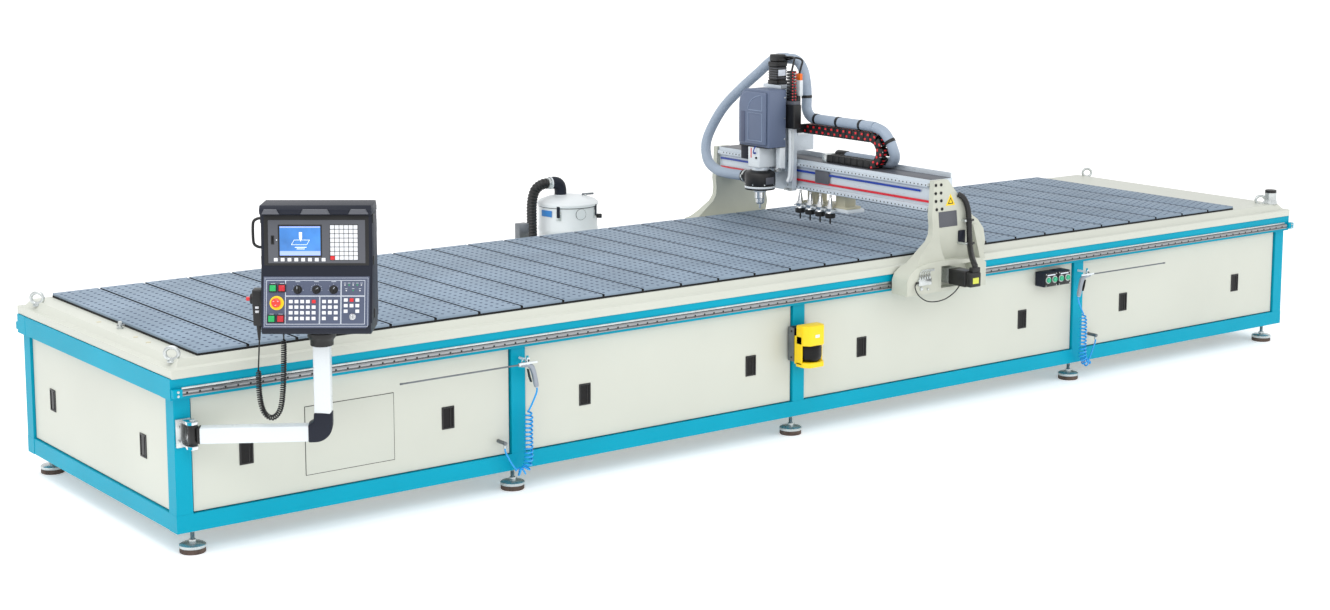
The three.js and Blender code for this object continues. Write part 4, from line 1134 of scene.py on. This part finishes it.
def make_chain():
    end = HEAD_Y - 120
    upper = Shape()
    count = round((end - CHAIN_Y) / LINK)
    for k in range(count):
        chain_link(upper, CHAIN_Y + LINK * (k + 0.5) * (end - CHAIN_Y) / (LINK * count), CHAIN_TOP, 0)
    upper.done("chain_top_links", None, ["chain_upper_run"],
               blend=("chain_loop", "cross_carriage", at_shop(CHAIN_MIDDLE, CHAIN_Y, CHAIN_TOP),
                      at_shop(CHAIN_MIDDLE, end, CHAIN_TOP)))
    bend = Shape()
    radius = (CHAIN_TOP - CHAIN_LOW) / 2
    middle = (CHAIN_TOP + CHAIN_LOW) / 2
    steps = 5
    for k in range(steps):
        angle = math.pi / 2 + math.pi * (k + 0.5) / steps
        chain_link(bend, CHAIN_Y + radius * math.cos(angle), middle + radius * math.sin(angle),
                   angle - math.pi / 2, 23.5, tall=CHAIN_TALL - 2.8 * k)
    bend.done("chain_bend_links", "chain_loop", ["chain_bend"])
    lower = Shape()
    links = 7
    for k in range(links):
        chain_link(lower, CHAIN_Y + LINK * (k + 0.5), CHAIN_LOW, 0, tall=46, catches=False)
    lower.done("chain_low_links", None,
               blend=("gantry", "cross_carriage", at_shop(CHAIN_MIDDLE, CHAIN_Y + LOW_RUN, CHAIN_LOW),
                      at_shop(CHAIN_MIDDLE, CHAIN_Y - LOW_RUN, CHAIN_LOW)))
    anchor = Shape()
    end = CHAIN_Y + LINK * links
    anchor.box(4440, 4512, end - 4, end + 34, 1301.5, 1350, ZINC, 2)
    anchor.done("chain_anchor", "gantry")


HOSE_LOW = [(4542, 800, 1334), (4542, 630, 1334), (4542, 460, 1334)]
HOSE_BEND = [(4542, 460, 1334), (4538, 385, 1345), (4518, 345, 1380), (4500, 340, 1420),
             (4488, 354, 1466), (4480, 398, 1516), (4477, 470, 1538)]
HOSE_TOP = [(4477, 470, 1538), (4476, 560, 1539), (4476, 945, 1539), (4478, 1025, 1551),
            (4486, 1068, 1590), (4492, 1076, 1650), (4490, 1079, 1720), (4480, 1088, 1800),
            (4464, 1108, 1854), (4450, 1140, 1876), (4442, 1180, 1878)]
HOSE_DROP = [(4442, 1180, 1878), (4433.8, 1221, 1880), (4416, 1300, 1862), (4394, 1400, 1784),
             (4360, 1525, 1680), (4318, 1640, 1560), (4280, 1710, 1430), (4252, 1725, 1330),
             (4234, 1680, 1240), (4224, 1580, 1196), (4220, 1470, 1188),
             (4220, HEAD_Y + 180, 1190), (4220, HEAD_Y + 151, 1190)]
HOSE_RADIUS = 30


def hose_tube(shape, points, straps=()):
    path = smooth_path(points, 2.1)
    shape.tube(path, ribbed(path, HOSE_RADIUS, 1.1, 8.4), HOSE, sides=28)
    for share in straps:
        k = int(share * (len(path) - 1))
        k = max(4, min(len(path) - 5, k))
        shape.tube([path[k - 4], path[k], path[k + 4]], HOSE_RADIUS + 1.8, BLACK, sides=28)


def make_dust_hose():
    low = Shape()
    hose_tube(low, HOSE_LOW)
    low.done("dust_hose_low", None,
             blend=("gantry", "cross_carriage", at_shop(4540, 870, 1334), at_shop(4540, 50, 1334)))
    cuff = Shape()
    cuff.rod((4542, 768, 1334), (4542, 850, 1334), 33.5, BLACK, 32, bevel=3)
    cuff.box(4512, 4572, 796, 840, 1301.5, 1312, ZINC, 2)
    cuff.done("dust_hose_cuff", "gantry")
    bend = Shape()
    hose_tube(bend, HOSE_BEND, (0.62,))
    bend.done("dust_hose_bend", "chain_loop")
    top = Shape()
    hose_tube(top, HOSE_TOP, (0.111, 0.313, 0.51, 0.71))
    top.done("dust_hose_top", None, ["dust_hose_run"],
             blend=("chain_loop", "cross_carriage", at_shop(CHAIN_MIDDLE, CHAIN_Y, 1538),
                    at_shop(CHAIN_MIDDLE, 1025, 1538)))
    drop = Shape()
    hose_tube(drop, HOSE_DROP)
    drop.done("dust_hose_arc", None, ["dust_hose_drop"],
              blend=("cross_carriage", "milling_head", at_shop(4440, 1180, 1860), at_shop(4440, 1180, 1240)))


# ---- control desk ------------------------------------------------------------------------
HALF = 236
LOWER_TILT = math.atan2(54, 228)
UPPER_TILT = math.atan2(12, 218)
VISOR_TILT = -0.35
PANEL_Z = 1062
BEZEL_Z = 1306


def panel_plane(y, z, tilt):
    """Axes of a sloping panel: across, up the slope, and out of the face."""
    c, s = math.cos(tilt), math.sin(tilt)
    return Matrix(((1, 0, 0, 0), (0, s, -c, y), (0, c, s, z), (0, 0, 0, 1)))


LOWER = panel_plane(-152, PANEL_Z, LOWER_TILT)
UPPER = panel_plane(-94, BEZEL_Z, UPPER_TILT)


def on_lower(z):
    return (z - PANEL_Z) / math.cos(LOWER_TILT)


def on_upper(z):
    return (z - BEZEL_Z) / math.cos(UPPER_TILT)


def panel_key(shape, across, up, paint, wide=16.5, tall=14.5, high=3.2, base=1.2):
    shape.box(across - wide / 2, across + wide / 2, up - tall / 2, up + tall / 2, base - 0.6, base + high,
              paint, 1.2)


def outline_box(shape, x0, x1, y0, y1, paint=LINE_WHITE, line=1.8, base=1.2, high=0.4):
    for y in (y0, y1):
        shape.box(x0 - line / 2, x1 + line / 2, y - line / 2, y + line / 2, base - 0.4, base + high, paint)
    for x in (x0, x1):
        shape.box(x - line / 2, x + line / 2, y0, y1, base - 0.4, base + high * 0.9, paint)


def make_desk_body():
    shape = Shape(DESK)
    side = [(62, 1020), (90, 1060), (90, 1540), (60, 1560), (-90, 1560),
            (-94, 1528), (-81.5, 1524), (-93.5, 1306), (-98, 1290), (-152, 1062),
            (-150, 1036), (-138, 1020)]
    shape.prism(side, "x", -HALF + 4, HALF - 4, CHARCOAL, 3.5)
    visor = [(84, 1520), (84, 1541), (58, 1566.5), (-100, 1566.5), (-113.5, 1548),
             (-110, 1530), (-86, 1522)]
    shape.prism(visor, "x", -HALF, HALF, CHARCOAL, 3)
    for x0, x1 in ((-226, -150), (-62, 64), (140, 226)):
        shape.at = panel_plane(-110.5, 1531, VISOR_TILT)
        slant = 12
        shape.prism([(x0, 0), (x1, 0), (x1 - slant, 22), (x0 + slant, 22)], "z", -4, 4,
                    BEZEL, 1.5)
        shape.at = Matrix.Identity(4)
    for sx in (-1, 1):
        cheek = [(78, 1064), (78, 1520), (-78, 1518), (-90, 1306), (-95, 1288), (-146.5, 1068)]
        x0, x1 = sorted((sx * (HALF - 6), sx * (HALF - 0.5)))
        shape.prism(cheek, "x", x0, x1, CHARCOAL, 2.5)
        for z in (1095, 1325, 1505):
            x0, x1 = sorted((sx * (HALF - 4), sx * (HALF + 4)))
            shape.box(x0, x1, -70, -45, z - 20, z + 20, BLACK, 3)
    shape.box(-HALF + 16, HALF - 16, 88, 93.5, 1075, 1525, CHARCOAL, 3)
    for k in range(9):
        shape.box(-120, 120, 92.5, 96.5, 1120 + 16 * k, 1126 + 16 * k, BLACK, 1.2)
    for z in (1150, 1450):
        shape.rod((HALF - 8, 94, z - 28), (HALF - 8, 94, z + 28), 6, ZINC, 16, bevel=1)
    shape.rod((-HALF + 40, 92, 1300), (-HALF + 40, 98.5, 1300), 13, ZINC, 24, bevel=1.5)
    handle = smooth_path([(-HALF + 4, -40, 1500), (-HALF - 14, -40, 1502),
                          (-HALF - 34, -40, 1492), (-HALF - 40, -40, 1470),
                          (-HALF - 40, -40, 1410), (-HALF - 34, -40, 1388),
                          (-HALF - 14, -40, 1378), (-HALF + 4, -40, 1380)], 4)
    shape.tube(handle, 6.2, BLACK, sides=16)
    for z in (1380, 1500):
        shape.rod((-HALF - 4, -40, z), (-HALF + 1, -40, z), 10.5, BLACK, 20, bevel=1)
    shape.box(-HALF - 8, -HALF + 3, -50, 10, 1080, 1130, BLACK, 2)
    shape.turned([(0, 999.8), (58.5, 999.8), (62, 1003), (62, 1017), (58, 1020.5), (0, 1020.5)],
                 (0, 0, 0), BLACK, sides=48)
    shape.rod((-157, -40, 1021.2), (-157, -40, 1009.5), 10.5, BLACK, 20, end=6)
    shape.done("desk_shell", "desk", ["desk_housing"])


SCREEN_LAYERS = ((-162, 24, 1344, 1482, 3.5, 5.2, BLACK, 1.2),
                 (-155, 18, 1351, 1475, 4.8, 5.8, SCREEN_BLUE, 0.4),
                 (-154, 17, 1351.5, 1370, 5, 6.2, SCREEN_BAR, 0.2),
                 (-154, 17, 1469, 1474.5, 5, 6.1, SCREEN_BAR, 0.2))


def make_screen_panel():
    shape = Shape(DESK)
    shape.at = UPPER
    low, high = on_upper(1318), on_upper(1502)
    shape.box(-222, 222, on_upper(1308), on_upper(1522), -0.8, 1, BLACK, 0.8)
    shape.box(-204, 207, low, high, 0.6, 4.2, BEZEL, 2.5)
    for x0, x1, z0, z1, *rest in SCREEN_LAYERS:
        shape.box(x0, x1, on_upper(z0), on_upper(z1), *rest)
    screen_picture(shape)
    for k in range(8):
        panel_key(shape, -172 + 28.9 * k, on_upper(1333.5), KEY_WHITE, 16.5, 15, 2.8, 4.4)
    shape.box(57, 177, on_upper(1330), on_upper(1482.5), 3.6, 5, BLACK, 0.8)
    for column in range(6):
        for row in range(8):
            paint = RED if (column, row) == (0, 0) else KEY_WHITE
            panel_key(shape, 68 + 19.7 * column, on_upper(1340.5) + 18.8 * row, paint,
                      17.6, 16.6, 2.4, 5)
    shape.box(-192, -178, on_upper(1398), on_upper(1436), 3.6, 5.6, BLACK, 1)
    shape.box(-188, -182, on_upper(1402), on_upper(1432), 5, 6, LENS, 0.4)
    shape.rod((-168, on_upper(1417), 4), (-168, on_upper(1417), 5.5), 2.8, LINE_WHITE, 12)
    shape.done("desk_screen_panel", "desk")


def screen_picture(shape):
    """A plain machining picture: a work sheet seen at an angle with a tool over it."""
    base = on_upper(1405)
    corners = [(-105, base - 8), (-40, base - 8), (-28, base + 12), (-93, base + 12)]
    for (ax, ay), (bx, by) in zip(corners, corners[1:] + corners[:1]):
        shape.rod((ax, ay, 5.8), (bx, by, 5.8), 0.7, SCREEN_MARK, 6)
    shape.prism([(-72, base + 45), (-60, base + 45), (-60, base + 22), (-66, base + 6),
                 (-72, base + 22)], "z", 5, 6.2, SCREEN_MARK)
    for k, wide in enumerate((50, 34)):
        shape.box(-66 - wide / 2, -66 + wide / 2, base - 20 - 7 * k, base - 18 - 7 * k,
                  5, 6.1, SCREEN_MARK)


KEY_ROWS = (1159, 1136, 1113, 1089.5)
LAMPS = (("start", "green_button", -184, 1214, GREEN_LIT),
         ("stop", "red_button", -146, 1214, RED_LIT),
         ("power_on", "green_button", -188, 1088, GREEN_LIT),
         ("power_off", "red_button", -150, 1088, RED_LIT))
MUSHROOM_AT = (-167, 1153)
KEY_AT = (154, 1096)
SELECTOR_Z = 1208
SELECTORS = (("mode", -79, 5, 0), ("feed", 0, 11, -55), ("spindle", 73, 5, -35))


def make_button_panel():
    shape = Shape(DESK)
    shape.at = LOWER
    up = on_lower
    shape.prism([(-224, up(1050)), (212, up(1050)), (224, up(1063)), (224, up(1262)), (-224, up(1262))],
                "z", -0.8, 1.2, PANEL_BLUE, 0.5)
    outline_box(shape, -218, 218, up(1056.5), up(1256), high=0.3, line=1)
    for x0, x1, z0, z1 in ((-211, -131.2, 1066, 1246), (-130, 103, 1183, 1246),
                           (-130, 13, 1066, 1180), (16, 103, 1066, 1180),
                           (106, 205, 1183, 1246), (106, 205, 1066, 1180)):
        outline_box(shape, x0, x1, up(z0), up(z1))
    blocks = (((-107.5, -83.5, -59.5, -35, -10.5), KEY_ROWS, {(4, 0)}, set()),
              ((33, 58, 83), KEY_ROWS, set(), {(1, 3)}),
              ((125, 149.5, 174), (1165, 1142, 1119), {(1, 0)}, {(1, 2)}))
    for columns, rows, reds, missing in blocks:
        for i, x in enumerate(columns):
            for j, z in enumerate(rows):
                if (i, j) not in missing:
                    panel_key(shape, x, up(z), RED if (i, j) in reds else KEY_WHITE)
    for count, z in ((5, 1227), (3, 1204)):
        for k in range(count):
            x = 155.5 + (k - (count - 1) / 2) * (70 / (count - 1) if count > 3 else 29)
            shape.rod((x, up(z), 0.8), (x, up(z), 2.4), 2.6, GREEN_LIT if k % 2 else KEY_WHITE, 14)
            shape.box(x - 5, x + 5, up(z) + 7.5, up(z) + 9, 0.8, 1.5, LINE_WHITE)
    for _, x, ticks, _ in SELECTORS:
        shape.turned([(0, 0.8), (18.5, 0.8), (18.5, 1.6), (0, 1.7)], (x, up(SELECTOR_Z), 0), BLACK)
        for k in range(ticks):
            angle = math.radians(90 + 120 * (k / (ticks - 1) - 0.5) * 1.6)
            c, s = math.cos(angle), math.sin(angle)
            start, stop = (20.5, 25) if k % 2 == 0 else (21.5, 24)
            inner, outer = [(x + far * c, up(SELECTOR_Z) + far * s, 1.4) for far in (start, stop)]
            shape.rod(inner, outer, 0.6, LINE_WHITE, 6)
        shape.box(x - 10, x + 10, up(1240), up(1241.8), 0.8, 1.5, LINE_WHITE)
    for _, _, x, z, _ in LAMPS:
        for s in (-1, 1):
            shape.box(x + s * 15.2 - 1.8, x + s * 15.2 + 1.8, up(z) - 17, up(z) + 17, 0.4, 5.8,
                      BLACK, 0.6)
            shape.box(x - 13.5, x + 13.5, up(z) + s * 15.2 - 1.8, up(z) + s * 15.2 + 1.8, 0.4,
                      5.7, BLACK, 0.6)
        shape.box(x - 9, x + 9, up(z) + 19, up(z) + 20.8, 0.8, 1.5, LINE_WHITE)
    shape.turned([(14.2, 0.8), (30, 0.8), (30, 3), (28.5, 4.2), (16, 4.8),
                  (14.2, 4.4)], (MUSHROOM_AT[0], up(MUSHROOM_AT[1]), 0), YELLOW, sides=56)
    shape.turned([(10.5, 0.4), (13.5, 0.4), (13.5, 6), (12, 7.5), (10.5, 7.5)],
                 (KEY_AT[0], up(KEY_AT[1]), 0), CHROME, sides=36)
    shape.done("desk_button_panel", "desk")


def make_desk_controls():
    up = on_lower
    for name, slot, x, z, paint in LAMPS:
        cap = Shape(DESK)
        cap.at = LOWER
        cap.box(x - 13, x + 13, up(z) - 13, up(z) + 13, 4.4, 9.5, paint, 1.4, 3)
        cap.box(x - 8.5, x + 8.5, up(z) - 8.5, up(z) + 8.5, 9, 10, paint, 0.6)
        cap.done(f"{name}_lamp_cap", f"{name}_key", [f"{name}_button"])
    stop = Shape(DESK)
    stop.at = LOWER
    stop.turned([(0, 6.4), (13, 6.4), (13, 17.5), (17.5, 18.5), (19.8, 20.5),
                 (20, 24.5), (18.5, 28.5), (14, 31), (7, 32), (0, 32.2)],
                (MUSHROOM_AT[0], up(MUSHROOM_AT[1]), 0), MUSHROOM, sides=56)
    for k in range(3):
        angle = 2 * math.pi * k / 3 + 0.5
        x, y = MUSHROOM_AT[0] + 10.5 * math.cos(angle), up(MUSHROOM_AT[1]) + 10.5 * math.sin(angle)
        stop.box(x - 3, x + 3, y - 1, y + 1, 30, 32.6, LINE_WHITE, 0.4)
    stop.done("emergency_mushroom", "stop_mushroom", ["emergency_stop"])
    for name, x, _, degrees in SELECTORS:
        knob = Shape(DESK)
        knob.at = LOWER @ turn_about(x, up(SELECTOR_Z), degrees)
        knob.turned([(0, 1.9), (15, 1.9), (15, 6), (13.5, 11.5), (12, 12),
                     (0, 12.2)], (0, 0, 0), BLACK, sides=40)
        knob.prism([(-4.6, -13.5), (4.6, -13.5), (4, 10), (0, 15), (-4, 10)],
                   "z", 11, 23.5, BLACK, 1.2)
        knob.box(-0.8, 0.8, 2, 12.5, 23.2, 24, LINE_WHITE)
        knob.done(f"{name}_selector_knob", f"{name}_knob", [f"{name}_selector"])
    key = Shape(DESK)
    key.at = LOWER @ Matrix.Translation((KEY_AT[0], up(KEY_AT[1]), 0))
    key.turned([(0, 0.8), (10, 0.8), (10, 8), (9, 9), (0, 9)], (0, 0, 0), CHROME)
    key.box(-1.2, 1.2, -4.5, 4.5, 8.5, 20, CHROME, 0.3)
    key.prism([(-6, 19), (6, 19), (9.5, 24.5), (8.5, 32), (0, 34.5),
               (-8.5, 32), (-9.5, 24.5)], "x", -1.4, 1.4, CHROME, 0.6)
    key.done("key_in_switch", "key", ["key_switch"])


def make_pendant():
    x1 = -HALF - 8.5
    x0 = x1 - 42
    grip = Shape(DESK)
    outline = [(-52, 1122), (-52, 1188), (-45, 1195), (5, 1195), (12, 1188), (12, 1122),
               (-2, 1072), (-4, 1034), (-36, 1034), (-38, 1072)]
    grip.prism(outline, "x", x0, x1, BLACK, 5, 3)
    middle = (x0 + x1) / 2
    for k in range(6):
        grip.box(x0 - 1.2, x0 + 2, -34, -6, 1044 + 9 * k, 1048 + 9 * k, BLACK, 0.8)
    grip.rod((x0 + 1, -20, 1150), (x0 - 0.2, -20, 1150), 26, BEZEL, 40)
    for z in (1100, 1118):
        grip.box(middle - 8, middle + 8, -54.5, -47, z - 5, z + 5, KEY_WHITE, 1)
    profile = [(10.8, 1034.5)]
    for k in range(9):
        z = 1030 - 6.8 * k
        radius = 10.6 - 0.65 * k
        profile += [(radius, z), (radius, z - 4), (radius - 1.3, z - 4.2), (radius - 1.3, z - 6.6)]
    profile = [(0, 1034.5), *profile, (3, 966.5), (0, 966.5)]
    grip.turned(profile[::-1], (middle, -20, 0), BLACK, sides=24)
    grip.done("pendant_grip", "desk", ["hand_pendant"])
    wheel = Shape(DESK)
    wheel.turned([(0, 0.4), (20.5, 0.4), (22, 2), (22, 10), (20.5, 11.8),
                  (0, 12)], (x0, -20, 1150), BLACK, axis=(-1, 0, 0), sides=48)
    for k in range(24):
        angle = 2 * math.pi * k / 24
        y, z = -20 + 21.5 * math.cos(angle), 1150 + 21.5 * math.sin(angle)
        wheel.rod((x0 - 2.5, y, z), (x0 - 10, y, z), 1.2, BLACK, 6)
    wheel.turned([(0, 11), (9, 11), (9, 27), (7.5, 29.8), (0, 30)],
                 (x0, -20, 1150), RED, axis=(-1, 0, 0), sides=32)
    wheel.done("pendant_dial", "wheel", ["pendant_wheel"])


ARM_AT = (60, -62)
ARM_REACH = math.hypot(477, 292)
ARM_TURN = math.degrees(math.atan2(-292, 477))


def make_arm():
    shape = Shape(SHOP @ turn_about(*ARM_AT, ARM_TURN))
    end = ARM_REACH
    shape.box(30, end - 30, -35, 35, 525, 595, WHITE, 7, 3)
    shape.turned([(9.8, 516), (20.5, 516), (21.5, 517.5), (21.5, 602.5), (20.5, 604),
                  (9.8, 604)], (0, 0, 0), BLACK, sides=36)
    shape.box(18, 42, -22, 22, 526, 594, BLACK, 3)
    shape.box(26, 32, -35, 35, 525, 595, BLACK, 3)
    bend = [(end - 66, 521.5)]
    for k in range(9):
        angle = -math.pi / 2 + math.pi / 2 * k / 8
        bend.append((end - 36 + 76 * math.cos(angle), 597.5 + 76 * math.sin(angle)))
    bend += [(end + 40, 652), (end - 40, 652), (end - 42, 612), (end - 66, 598.5)]
    shape.prism(bend, "y", -40, 40, CHARCOAL, 8, 3)
    shape.done("desk_arm_tube", "arm", ["desk_arm"])
    column = Shape(DESK)
    column.block((0, 0), 36, 640, 960, WHITE, 7, 3)
    column.turned([(0, 942), (45, 942), (50, 945), (50, 964), (52, 970),
                   (60, 980), (61.5, 984), (61.5, 999), (0, 999)], (0, 0, 0), BLACK, sides=48)
    column.done("desk_column", "arm")
    bracket = Shape()
    bracket.box(6, 74, -13.5, 2, 497, 623, ZINC, 2)
    for z0, z1 in ((498.5, 513.5), (606.5, 621.5)):
        bracket.prism([(29, -4), (71, -4), (71.5, -68), (82, -60), (82, -70),
                       (71, -89.5), (45, -89.5), (29, -70)], "z", z0, z1, CHROME, 2)
    bracket.rod((60, -62, 621), (60, -62, 629), 14, ZINC, 6, bevel=1)
    bracket.rod((60, -62, 491), (60, -62, 499), 14, ZINC, 6, bevel=1)
    for x in (16, 64):
        for z in (528, 592):
            bracket.rod((x, -13, z), (x, -19, z), 6.5, ZINC, 6, bevel=1)
    bracket.done("arm_hinge_bracket", "machine_base")


# ---- everything --------------------------------------------------------------------------
make_camera()
make_pendant_cord()
make_air_hoses()
make_collector_hose()
make_studio()
make_bed()
make_table_fittings()
paint_frame()
make_pulls()
make_feet()
make_guides()
make_scanner()
make_button_station()
for gun_row in AIR_GUNS:
    make_air_gun(*gun_row)
make_collector()
make_gantry()
make_rack()
make_carriage()
make_head()
make_chain()
make_dust_hose()
make_desk_body()
make_screen_panel()
make_button_panel()
make_desk_controls()
make_pendant()
make_arm()
